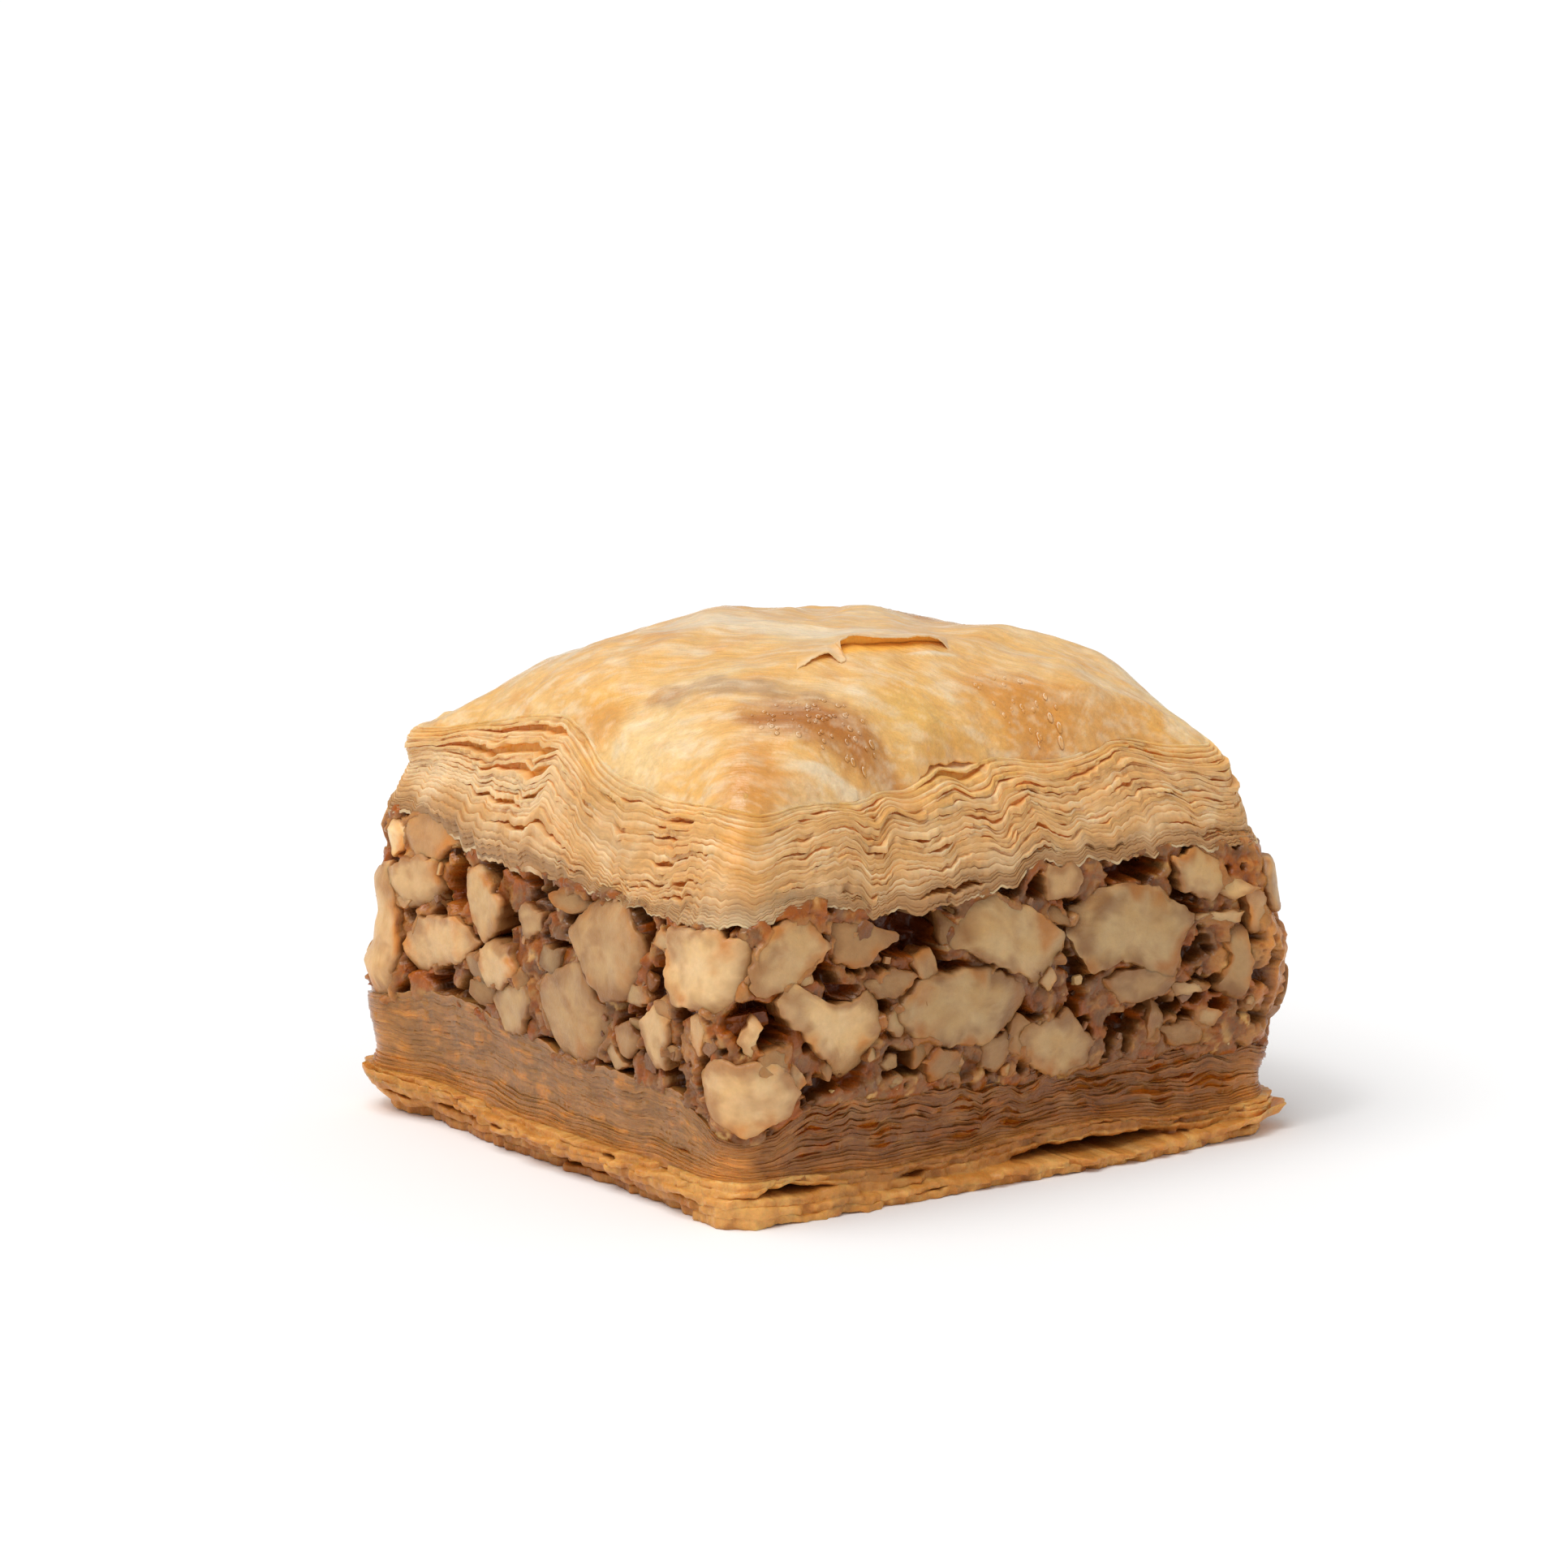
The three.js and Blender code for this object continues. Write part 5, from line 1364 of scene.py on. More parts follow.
# Outlines of the larger cut faces (place round the piece, height), how far
# each stands out, how tan it is, and how bright it is painted, a gain that stands in for the light or shade on that
# face.
CUT_FACES = {
    "R3": ([(19.3, 22.0), (21.5, 22.6), (23.4, 22.2), (26.7, 20.3), (29.8, 18.0), (29.9, 14.8), (28.7, 14.2), (26.7, 15.0),
            (25.0, 16.0), (22.0, 17.2), (20.2, 18.1), (18.8, 18.7), (19.3, 20.4)], 0.35, 0.0, 0.84),
    "R4": ([(31.1, 19.7), (33.4, 20.9), (36.2, 21.2), (38.8, 20.7), (40.0, 19.7), (42.2, 18.2), (41.8, 16.8), (40.7, 16.1),
            (40.3, 13.4), (38.8, 13.8), (37.5, 14.5), (35.1, 15.6), (34.1, 14.9), (32.7, 14.9), (31.1, 16.3), (30.3, 18.3)],
           0.30, 0.0, 0.79),
    "R2": ([(14.3, 14.6), (16.1, 16.6), (22.1, 16.5), (26.0, 14.9), (26.8, 14.6), (25.8, 13.2), (23.9, 11.9), (21.9, 11.0), (18.6, 11.2), (15.4, 12.4)], 0.34, 0.05, 0.80),
    "R1": ([(2.8, 16.8), (4.4, 18.0), (6.5, 16.9), (8.1, 15.7), (10.2, 15.9), (12.4, 16.9), (12.4, 13.3), (11.4, 10.7), (9.6, 9.9),
            (7.8, 11.3), (5.4, 14.0), (3.6, 15.5)], 0.30, 0.05, 0.98),
    "R1top": ([(2.9, 21.6), (4.2, 22.4), (6.5, 22.3), (8.4, 20.0), (5.5, 18.0), (1.9, 17.3), (0.9, 18.2), (1.5, 20.2)], 0.15, 0.45, 0.93),
    "nearlow": ([(-3.4, 11.2), (-1.1, 12.7), (2.9, 12.2), (5.2, 9.8), (3.9, 8.0), (0.8, 6.8), (-2.2, 8.0)], 0.45, 0.35, 1.02),
    "R5": ([(40.7, 22.5), (43.2, 22.9), (45.1, 21.8), (45.8, 20.2), (44.0, 18.8), (41.2, 20.1)], 0.25, 0.25, 0.88),
    "R6": ([(25.6, 10.8), (26.7, 11.7), (28.7, 11.6), (30.1, 12.3), (31.4, 11.4), (32.1, 10.5), (33.8, 9.4), (32.7, 8.7), (33.0, 7.5),
            (30.8, 7.0), (28.7, 7.2), (27.4, 8.3), (26.0, 9.7)], 0.20, 0.30, 0.84),
    "R7": ([(28.2, 22.8), (29.0, 23.3), (31.4, 23.2), (32.2, 22.0), (31.2, 20.8), (28.7, 20.8)], 0.0, 0.6, 0.90),
    "R8": ([(16.0, 10.4), (17.5, 11.1), (20.2, 10.5), (21.9, 9.2), (20.5, 8.3), (17.5, 8.5)], 0.0, 0.9, 0.80),
    "R10": ([(8.2, 21.6), (12.1, 21.3), (14.0, 20.1), (11.4, 18.2), (8.8, 18.8)], -0.1, 0.9, 0.85),
    "R9": ([(33.7, 14.2), (36.1, 14.5), (41.0, 13.9), (39.8, 11.9), (35.3, 12.0)], -0.05, 0.7, 0.80),
    "R11": ([(44.9, 17.8), (46.8, 16.5), (47.1, 13.3), (46.2, 11.2), (44.5, 12.1), (45.4, 14.2)], 0.1, 0.5, 0.80),
    "R12": ([(39.9, 9.4), (42.4, 9.6), (44.6, 8.7), (43.9, 7.5), (40.9, 7.8)], -0.1, 0.9, 0.80),
    "R13": ([(22.0, 10.9), (24.6, 11.4), (25.2, 9.4), (23.6, 8.2), (21.9, 9.0)], 0.0, 0.8, 0.80),
    "R14": ([(10.5, 16.9), (13.6, 17.6), (15.8, 16.9), (13.8, 15.4), (12.4, 15.6)], -0.2, 0.8, 0.80),
    "near": ([(-6.4, 21.3), (-2.3, 22.0), (0.9, 21.1), (1.3, 20.1), (0.9, 17.9), (-1.2, 15.8), (-5.3, 16.0), (-6.5, 17.0)], 0.45, 0.05, 0.98),
    "L1": ([(173.0, 18.8), (175.5, 21.5), (179.3, 22.0), (181.6, 18.5), (180.2, 15.5), (177.1, 14.7), (174.7, 16.6)], 0.2, 0.6, 0.90),
    "L2": ([(169.1, 13.9), (170.8, 15.2), (174.0, 16.5), (177.1, 13.3), (177.4, 11.8), (176.0, 10.1), (172.8, 8.9), (170.7, 9.3)], 0.1, 0.6, 0.88),
    "L3": ([(162.2, 12.3), (164.4, 13.3), (167.2, 13.3), (167.6, 12.4), (166.1, 9.7), (163.9, 9.6)], 0.0, 0.4, 0.88),
    "L4": ([(158.5, 20.7), (159.8, 21.4), (163.4, 19.4), (162.9, 17.3), (161.5, 16.2), (159.4, 17.6)], 0.2, 0.3, 0.95),
    "L5": ([(165.6, 19.2), (166.7, 20.0), (168.8, 19.3), (168.8, 18.1), (167.0, 17.3)], 0.1, 0.5, 0.88),
    "L6": ([(160.8, 14.7), (162.3, 16.4), (164.4, 16.0), (165.5, 14.5), (163.6, 12.9), (161.9, 12.6)], 0.25, 0.3, 1.00),
    "L7": ([(150.6, 14.0), (153.0, 16.3), (157.8, 17.2), (160.2, 15.7), (158.6, 14.1), (152.1, 12.2)], 0.2, 0.4, 1.03),
    "L8": ([(148.4, 19.5), (150.4, 20.6), (153.9, 21.0), (154.5, 18.9), (153.8, 17.3), (150.3, 16.9)], 0.2, 0.5, 1.00),
    "L9": ([(182.3, 13.5), (183.9, 15.2), (185.3, 15.3), (185.3, 13.4), (184.3, 11.0), (183.1, 10.7)], 0.2, 0.3, 0.97),
    "L10": ([(146.6, 18.8), (148.4, 19.7), (149.5, 17.0), (150.0, 12.1), (149.7, 9.4), (146.4, 9.4), (145.7, 12.8)], 0.1, 0.5, 1.05),
    "Lc": ([(148.2, 22.7), (150.5, 24.0), (155.6, 24.6), (156.7, 23.1), (153.9, 21.2), (149.3, 20.8)], 0.1, 1.0, 1.03),
}


def random_outline(rng, s0, z0, w, h):
    k = int(rng.integers(4, 8))
    a = (np.arange(k) + rng.uniform(-0.34, 0.34, k)) / k * 2 * math.pi
    r = rng.uniform(0.72, 1.15, k)
    turn = rng.uniform(0, math.pi)
    px, py = r * np.cos(a + turn), r * np.sin(a + turn)
    return [(s0 + w / 2 * i, z0 + h / 2 * j) for i, j in zip(px, py)]


NUTS = []                        # outline, seed, stand, tone, gain, size class
taken = []                       # ovals already filled: place, height, width, height
for i, (key, (outline_, stand, tone, shade_gain_)) in enumerate(CUT_FACES.items()):
    o_ = np.array(outline_)
    grow = 1.10 if key[0] == 'L' else 1.03
    grown = [tuple(q_) for q_ in o_.mean(0) + (o_ - o_.mean(0)) * grow]
    NUTS.append((cut_outline(grown, 96, 300 + i, rounds=1), 300 + i, 0.5 * stand, tone, shade_gain_ * (0.97 if key[0] == 'L' else 1.0), 0))
    taken.append((np.mod(o_[:, 0].mean(), PER), o_[:, 1].mean(), np.ptp(o_[:, 0]), np.ptp(o_[:, 1])))
rng = np.random.default_rng(4242)


def room(s0, z0, w_, h_, tight):
    for a, b, c, d in taken:
        ds = (s0 - a + PER / 2) % PER - PER / 2
        if (ds / (0.5 * (w_ + c))) ** 2 + ((z0 - b) / (0.5 * (h_ + d))) ** 2 < tight:
            return False
    return True


def scatter_nuts(count, start, end, widths, heights, seed, tight, stands, tones, size, avoid_hollows=False):
    made = tries = 0
    while made < count and tries < 8000:
        tries += 1
        s0 = rng.uniform(start, end) % PER
        lo_, hi_ = float(read(PRESSED, s0)), float(read(FILLED, s0))
        w_, h_ = rng.uniform(*widths), rng.uniform(*heights)
        if rng.uniform() < 0.35:
            w_, h_ = h_, w_
        h_ = min(h_, hi_ - lo_ - 1)
        z0 = rng.uniform(lo_ + 0.42 * h_, hi_ - 0.42 * h_)
        if not room(s0, z0, w_, h_, tight):
            continue
        if avoid_hollows and cavity_depth(np.array([s0]), np.array([z0]))[0] > 0.6:
            continue
        taken.append((s0, z0, w_, h_))
        outline = cut_outline(random_outline(rng, s0, z0, w_, h_), (80, 44, 30)[size], seed + made,
                              jag=(0.16, 0.13, 0.09)[size], rounds=(2, 1, 1)[size])
        NUTS.append((outline, seed + made, rng.uniform(*stands), rng.uniform(*tones), rng.uniform(0.85, 1.05) * float(read(SHADE, s0)), size))
        made += 1


# the far faces, filled the same way by chance, and smaller pieces all round
scatter_nuts(15, 51, 145, (7, 11), (4.5, 7), 500, 0.80, (0.0, 0.25), (0.0, 0.5), 0)
scatter_nuts(26, 50, 146, (3.2, 5.5), (2.6, 4.5), 540, 0.74, (-0.1, 0.2), (0.0, 0.9), 1)
scatter_nuts(34, 50, 146, (1.4, 3.0), (1.2, 2.6), 600, 0.62, (-0.25, 0.10), (0.2, 1.0), 2)
scatter_nuts(26, 147, 241, (2.2, 4.6), (1.6, 3.6), 660, 0.46, (-0.45, 0.0), (0.3, 1.0), 1, avoid_hollows=True)
scatter_nuts(22, 147, 241, (1.0, 2.4), (0.8, 1.8), 760, 0.40, (-0.45, -0.05), (0.3, 1.0), 2, avoid_hollows=True)

# the bed between them
s = lap_points(COLS, 2.4)
lo, hi = read(PRESSED, s) - 1.1, read(FILLED, s) + 1.0
T = np.linspace(0, 1, ROWS)[:, None]
Zp = lo + (hi - lo) * T
Sp = np.broadcast_to(s, Zp.shape)
Op = skin(Sp, Zp)
P0 = wall(s, Op, Zp)
hollow = cavity_depth(Sp, Zp)
warp = np.stack([perlin(P0 / 1.2, 187), perlin(P0 / 1.2, 188), perlin(P0 / 1.2, 189)], axis=-1)
warp2 = np.stack([perlin(P0 / 0.5, 197), perlin(P0 / 0.5, 198), perlin(P0 / 0.5, 199)], axis=-1)
near1, far1, own1 = cells(P0 + 0.50 * warp + 0.12 * warp2, 1.5, 1)
near2, far2, own2 = cells(P0 + 0.25 * warp + 0.12 * warp2, 0.72, 2)
lumps = fbm(P0, 2.6, 2, 184)
seam1, seam2 = far1 - near1, far2 - near2
rough1 = smooth(-0.35, 0.35, fbm(P0, 3.0, 2, 185))            # smoother where the paste has smeared
relief = (-0.44 + 0.42 * lumps + mix(0.15, 0.9, rough1) * (
    0.14 * (1 - 1.8 * near1 ** 2) + 0.32 * (own1[..., 0] - 0.5) - 0.16 * smooth(0.16, 0.0, seam1))
          + mix(0.2, 0.7, rough1) * (0.09 * (1 - 1.8 * near2 ** 2) + 0.16 * (own2[..., 0] - 0.5)) + 0.05 * perlin(P0 / 0.45, 186))
pit = smooth(0.10, 0.40, perlin(P0 / 2.1 + 50, 176) + 0.35 * perlin(P0 / 0.8, 175) + 0.10 * bump(Sp, 148, 186, 3)) * smooth(0.0, 0.10, T) * smooth(1.0, 0.90, T)
relief = relief - 1.7 * pit
relief = relief + 0.30 * (smooth(0.80, 0.96, T) + smooth(0.20, 0.04, T))
# it sits a little below each nut, with a groove along parts of its edge
groove = np.zeros_like(hollow)
lapped = np.zeros_like(hollow)
lapping = perlin(P0 / 2.2, 178) + 0.16 * perlin(P0 / 0.7, 179)
for outline, seed_, stand_, tone_, shade_gain_, size_ in NUTS:
    ms = outline[:, 0].mean()
    du = np.mod(Sp - ms + PER / 2, PER) - PER / 2
    ou = outline[:, 0] - ms
    near_it = ((du > ou.min() - 1) & (du < ou.max() + 1) & (Zp > outline[:, 1].min() - 1) & (Zp < outline[:, 1].max() + 1))
    if not near_it.any():
        continue
    gap_ = gap_to(np.stack([ou, outline[:, 1]], axis=-1), du[near_it], Zp[near_it])
    under_ = smooth(0.05, -0.30, gap_)
    lap_ = smooth(0.02, 0.30, lapping[near_it] + 0.20 * (size_ > 0) + 0.14 * tone_ - 0.12) * smooth(-1.2, -0.2, gap_)
    plain_ = relief[near_it]
    sunk_ = mix(plain_, np.minimum(plain_, stand_ - 0.75), under_)
    relief[near_it] = mix(sunk_, np.maximum(plain_ + 0.10, stand_ + 0.02), lap_ * smooth(0.5, -0.1, gap_))
    lapped[near_it] = np.maximum(lapped[near_it], lap_ * (gap_ < 0.1))
    w_ = np.exp(-((gap_ - 0.12) / 0.22) ** 2)
    groove[near_it] = np.maximum(groove[near_it], w_)
edge_noise = smooth(-0.1, 0.4, fbm(P0, 1.6, 2, 181))
relief = relief - 0.24 * groove * edge_noise * (1 - lapped)
tuck = 0.8 * smooth(0.05, 0.0, T) + smooth(0.95, 1.0, T)
off_p = Op + relief - hollow * (1 + 0.25 * lumps) - 0.5 * tuck
P_paste = wall(s, off_p, Zp)

t1 = fbm(P0, 3.4, 3, 191)
which = np.clip(own1[..., 1] + 0.30 * t1, 0, 0.999)
col = bit_colours(own1[..., 2], which)
fine = bit_colours(own2[..., 2], np.clip(own2[..., 1] + 0.2 * t1, 0, 0.999))
col = blend(col, fine, 0.25 + 0.65 * smooth(-0.1, 0.35, fbm(P0, 2.4, 2, 196)))
col = blend(col, C_MAUVE, 0.70 * smooth(-0.1, 0.4, fbm(P0, 3.0, 3, 193)))
col = blend(col, C_SYRUP, 0.85 * smooth(-0.05, 0.30, fbm(P0, 2.2, 3, 194)))
col = stained(col, Sp, Zp, P0)
col = blend(col, C_SYRUP, 0.70 * smooth(0.10, 0.0, seam1) + 0.25 * smooth(0.08, 0.0, seam2))
col = blend(col, C_SYRUP, 0.55 * groove * edge_noise * (1 - lapped))
col = blend(col, mix(C_TAN, C_STAIN, 0.6), 0.65 * lapped)
col = blend(col, C_PLUM, 0.40 * smooth(0.15, 0.5, fbm(P0, 4.0, 2, 177)) * (1 - near_corner(Sp, 6)))
# partly syrup, partly painted shade: the pits are painted dark amber
col = blend(col, C_PIT_SHADE, 0.9 * pit * (1 - lapped))
# painted shade: the paste is painted darker the lower it lies and lighter on its lumps
col = col * (1 + 0.55 * np.clip(relief + 0.50, -0.9, 0.35))[..., None]
# painted shade round the piece, from SHADE, then a warm tint of the paste's own colour
col = col * mix(1.0, read(SHADE, Sp), 0.9)[..., None] * np.array([0.84, 0.79, 0.62])
# partly syrup pooled in the hollows, partly painted shade: the hollows are painted amber and then darker the deeper
# they run
col = blend(col, C_CAVE_AMBER_SHADE, smooth(0.12, 0.7, hollow))
col = blend(col, C_CAVE_SHADE, smooth(0.7, 2.2, hollow))
wet_p = np.clip(0.15 + 0.7 * smooth(-0.05, 0.5, fbm(P0, 1.5, 2, 195)), 0, 0.95) * (1 - 0.8 * smooth(0.3, 1.2, hollow))
inner_lo = wall(s, np.full((1, COLS), -4.5), Zp[:1])
inner_hi = wall(s, np.full((1, COLS), -4.5), Zp[-1:])
verts = np.concatenate([inner_lo.reshape(-1, 3), P_paste.reshape(-1, 3), inner_hi.reshape(-1, 3), [[0, 0, 8.0], [0, 0, 22.5]]])
quads = grid_faces(ROWS + 2, COLS)
tris = np.concatenate([fan(0, COLS, (ROWS + 2) * COLS, False), fan((ROWS + 1) * COLS, COLS, (ROWS + 2) * COLS + 1, True)])
pc = np.concatenate([col[:1].reshape(-1, 3), col.reshape(-1, 3), col[-1:].reshape(-1, 3), col[0, :1], col[-1, :1]])
pw = np.concatenate([wet_p[:1].ravel(), wet_p.ravel(), wet_p[-1:].ravel(), [0, 0]])
nut_paste = add_mesh("nut_paste", verts, quads, tris, pc, pw, PASTE)


# ---- the chopped walnuts
def slab(outline, seed, stand, tone, gain, size):
    """A chopped piece, cut flush with the face: a flat cut face with broken
    edges, and sides that run in behind it."""
    rng = np.random.default_rng(seed)
    n = len(outline)
    mid = outline.mean(0)
    smoothed = outline.copy()
    for _ in range(10):
        smoothed = 0.25 * np.roll(smoothed, 1, axis=0) + 0.5 * smoothed + 0.25 * np.roll(smoothed, -1, axis=0)
    reach = float(np.hypot(*(outline - mid).T).mean())
    t = np.array(((0.10, 0.22, 0.34, 0.46, 0.58, 0.69, 0.79, 0.87, 0.93, 0.97, 1.0), (0.2, 0.45, 0.68, 0.85, 0.95, 1.0),
                  (0.3, 0.65, 0.9, 1.0))[size])[:, None]
    edge_ = mix(smoothed[None], outline[None], (t ** 4)[..., None])
    p = mid + (edge_ - mid) * t[..., None]
    u, v = p[..., 0] - mid[0], p[..., 1] - mid[1]
    Q = stack3(u + seed * 1.7, v + seed * 0.9, 0 * u)
    small = min(1.0, reach / 2.5)
    h = stand + small * 0.16 * fbm(Q, 2.3, 2, 204)
    h = h + (rng.normal() * 0.16 * u + rng.normal() * 0.16 * v) / reach * (0.6 + tone)
    facet = 0 * u
    for _ in range((2, 1, 1)[size] + int(tone > 0.5)):
        a = rng.uniform(0, 2 * math.pi)
        d_ = rng.uniform(0.45, 0.85) * reach
        over = np.maximum(u * math.cos(a) + v * math.sin(a) - d_, 0) + 0.0
        facet = facet + rng.uniform(0.18, 0.60) * over
    h = h - facet
    broken = 0.5 + 0.5 * perlin(Q / 0.8, 243)
    h = h - (0.05 + 0.20 * broken) * smooth(0.93, 1.0, t) ** 1.5 * (0.4 + 0.6 * small)
    rows_p, rows_h, rows_t = [p], [h], [t + 0 * u]
    lean_ = rng.uniform(-0.16, 0.04, 3).cumsum()
    wob = 0.12 * perlin(stack3(outline[:, 0] / 0.8, outline[:, 1] / 0.8, 0 * outline[:, 0] + seed), 244)
    depths = ((0.45, 1.2, 2.6), (0.4, 1.0, 2.0), (0.3, 0.8, 1.4))[size]
    for j, (dh, le) in enumerate(zip(depths, lean_)):
        q = mid + (outline - mid) * (1 + 0.35 * le + (0.04 if j == 0 else 0.0)) + (wob * (j + 1) * 0.5)[:, None]
        rows_p.append(q[None])
        rows_h.append((h[-1:] - dh))
        rows_t.append(np.full((1, n), 1.15 + 0.2 * j))
    p, h, tt = np.concatenate(rows_p), np.concatenate(rows_h), np.concatenate(rows_t)
    facet = np.concatenate([facet] + [facet[-1:]] * 3)
    S_, Z_ = p[..., 0], p[..., 1]
    world = wall(S_, skin(S_, Z_) + h, Z_)
    centre_h = float(h[0].mean())
    c_pt = wall(np.array([mid[0]]), skin(np.array([mid[0]]), np.array([mid[1]])) + centre_h, np.array([mid[1]]))
    meat = blend(np.broadcast_to(mix(C_NUT, C_TAN, 0.8 * tone), world.shape), C_NUT_WARM,
                 (1 - tone) * 0.8 * smooth(-0.3, 0.4, fbm(world, 3.0, 2, 206)))
    meat = blend(meat, C_TAN, smooth(0.05, 0.5, fbm(world, 1.5, 3, 207)) * (0.25 + 0.4 * tone))
    rim_ = smooth(0.78, 1.04, tt + 0.26 * fbm(world, 1.6, 3, 216)) * smooth(-0.35, 0.25, fbm(world, 2.4, 2, 215) + 0.3 * tone)
    meat = blend(meat, C_RIM, (0.45 + 0.3 * tone) * rim_)
    # syrup and paste have crept in from the edges, in places
    crept = smooth(0.42, 0.98, tt + 0.60 * fbm(world, 1.9, 3, 213))
    meat = blend(meat, C_STAIN, 0.90 * crept * smooth(-0.16, 0.16, fbm(world, 3.4, 2, 212)))
    meat = blend(meat, C_STAIN_OR, 0.85 * crept * smooth(-0.02, 0.26, -fbm(world, 3.4, 2, 212)))
    meat = blend(meat, lin(246, 212, 160), 0.35 * (1 - tone) * smooth(0.0, 0.4, fbm(world, 2.0, 2, 214)))
    meat = blend(meat, C_TAN * 0.85, smooth(0.15, 0.5, facet) * 0.5)
    dirt = smooth(0.10, 0.45, fbm(world, 1.8, 3, 217) + 0.35 * rim_)
    meat = blend(meat, mix(C_MAUVE, C_TAN, 0.7), (0.30 + 0.35 * tone) * dirt)
    side = blend(np.broadcast_to(C_TAN * 0.8, world.shape), C_SKIN, smooth(-0.2, 0.4, fbm(world, 1.2, 3, 208)))
    side = blend(side, C_SYRUP, 0.5 * smooth(1.2, 1.5, tt))
    colr = blend(meat, side, smooth(1.0, 1.13, tt))
    skin_line = np.exp(-((tt - 1.0) / 0.05) ** 2) * smooth(0.0, 0.4, fbm(world, 1.5, 2, 218))
    colr = blend(colr, C_SKIN, 0.6 * skin_line)
    # painted shade: a gain below 1 darkens and warms the nut, for the shade on its face
    painted_shade_tint = (gain ** 2) * np.array([1.0, 1 - 0.20 * (1 - gain), 1 - 0.55 * (1 - gain)])
    colr = colr * (1 + 0.06 * fbm(world, 0.7, 2, 219))[..., None] * painted_shade_tint
    rows_n = len(p)
    verts = np.concatenate([world.reshape(-1, 3), c_pt])
    colr = np.concatenate([colr.reshape(-1, 3), colr[0].mean(0)[None]])
    i, j = np.arange(n), (np.arange(n) + 1) % n
    r = np.arange(rows_n - 1)[:, None] * n
    quads_ = np.stack([r + i, r + n + i, r + n + j, r + j], axis=-1).reshape(-1, 4)
    tris_ = np.concatenate([np.stack([i, j, np.full(n, rows_n * n)], axis=-1), quads_[:, [0, 1, 2]], quads_[:, [0, 2, 3]]])
    wet_ = np.concatenate([(0.10 + 0.5 * smooth(1.0, 1.2, tt) + 0.25 * dirt * (0.4 + tone)).ravel(), [0.1]])
    return verts, tris_, colr, np.clip(wet_, 0, 1)


nut_v, nut_t, nut_c, nut_w, at = [], [], [], [], 0


def keep(parts):
    global at
    v, t, c, w = parts
    nut_v.append(v)
    nut_t.append(t + at)
    nut_c.append(c)
    nut_w.append(w)
    at += len(v)


def flush(name, mat):
    global nut_v, nut_t, nut_c, nut_w, at
    o = add_mesh(name, np.concatenate(nut_v), None, np.concatenate(nut_t), np.concatenate(nut_c), np.concatenate(nut_w),
                 mat, sharp=50)
    nut_v, nut_t, nut_c, nut_w, at = [], [], [], [], 0
    return o


for entry in NUTS:
    if entry[5] == 0:
        keep(slab(*entry))
walnuts_near = flush("walnuts_large", WALNUT)
for entry in NUTS:
    if entry[5] > 0:
        keep(slab(*entry))
walnuts_small = flush("walnuts_small", WALNUT)

# ---- crumbs of nut in the syrup
rng = np.random.default_rng(909)


def crumb(s0, z0, size, lift_, colour, freq=3):
    dirs, tr = SPHERES[freq]
    shape = size * np.array([rng.uniform(0.7, 1.4), rng.uniform(0.5, 1.0), rng.uniform(0.35, 0.7)])
    sv = rng.uniform(0, 100, 3)
    p = dirs * (1 + 0.42 * perlin(dirs * 1.3 + sv, 210) + 0.20 * perlin(dirs * 3.1 + sv, 211))[:, None]
    p = np.clip(p, -rng.uniform(0.5, 0.9, 3), rng.uniform(0.5, 0.9, 3)) * shape * 1.2
    a = rng.uniform(0, 2 * math.pi)
    p[:, :2] = p[:, :2] @ np.array([[math.cos(a), -math.sin(a)], [math.sin(a), math.cos(a)]])
    foot, out = ring(np.array([s0]))
    n3 = np.array([out[0, 0], out[0, 1], 0.0])
    t3 = np.cross([0, 0, 1.0], n3)
    world = (np.array([foot[0, 0], foot[0, 1], z0]) + n3 * lift_ + p[:, :1] * t3 + p[:, 1:2] * np.array([0, 0, 1.0])
             + p[:, 2:3] * n3)
    c = blend(np.broadcast_to(colour, world.shape), C_SYRUP, 0.4 * smooth(0.0, 0.6, fbm(world, 0.8, 2, 212)))
    keep((world, tr, c, np.full(len(world), 0.35)))


made = 0
for i in range(4000):
    if made >= 240:
        break
    s0 = float(np.mod(rng.uniform(-46, 50), PER) if i % 8 < 6 else rng.uniform(50, 146))
    lo_, hi_ = float(read(PRESSED, s0)), float(read(FILLED, s0))
    z0 = rng.uniform(lo_ - 0.4, hi_ + 0.1)
    S0, Z0 = np.array([s0]), np.array([z0])
    hol = float(cavity_depth(S0, Z0)[0])
    if hol < 0.4 and rng.uniform() > 0.35 and lo_ + 0.5 < z0 < hi_ - 0.5:
        continue
    size = float(np.clip(rng.lognormal(-1.05, 0.40), 0.18, 0.9))
    # painted shade: crumbs are painted darker the deeper the hollow they lie in, and by the painted shade round the
    # piece
    c = bit_colours(np.array(rng.uniform()), np.array(rng.uniform())) * float(read(SHADE, s0)) * (1 - 0.6 * float(smooth(0.3, 2.0, hol)))
    crumb(s0, z0, size, float(skin(S0, Z0)[0]) - 0.15 - 0.9 * hol + rng.uniform(-0.30, 0.05) - 0.45 * size, c)
    made += 1
crumb(1.2, 15.2, 1.5, -1.0, C_SKIN * 1.1, 6)
crumb(190.0, 15.9, 1.0, -0.6, C_SKIN, 5)
nut_crumbs = flush("nut_crumbs", PASTE)

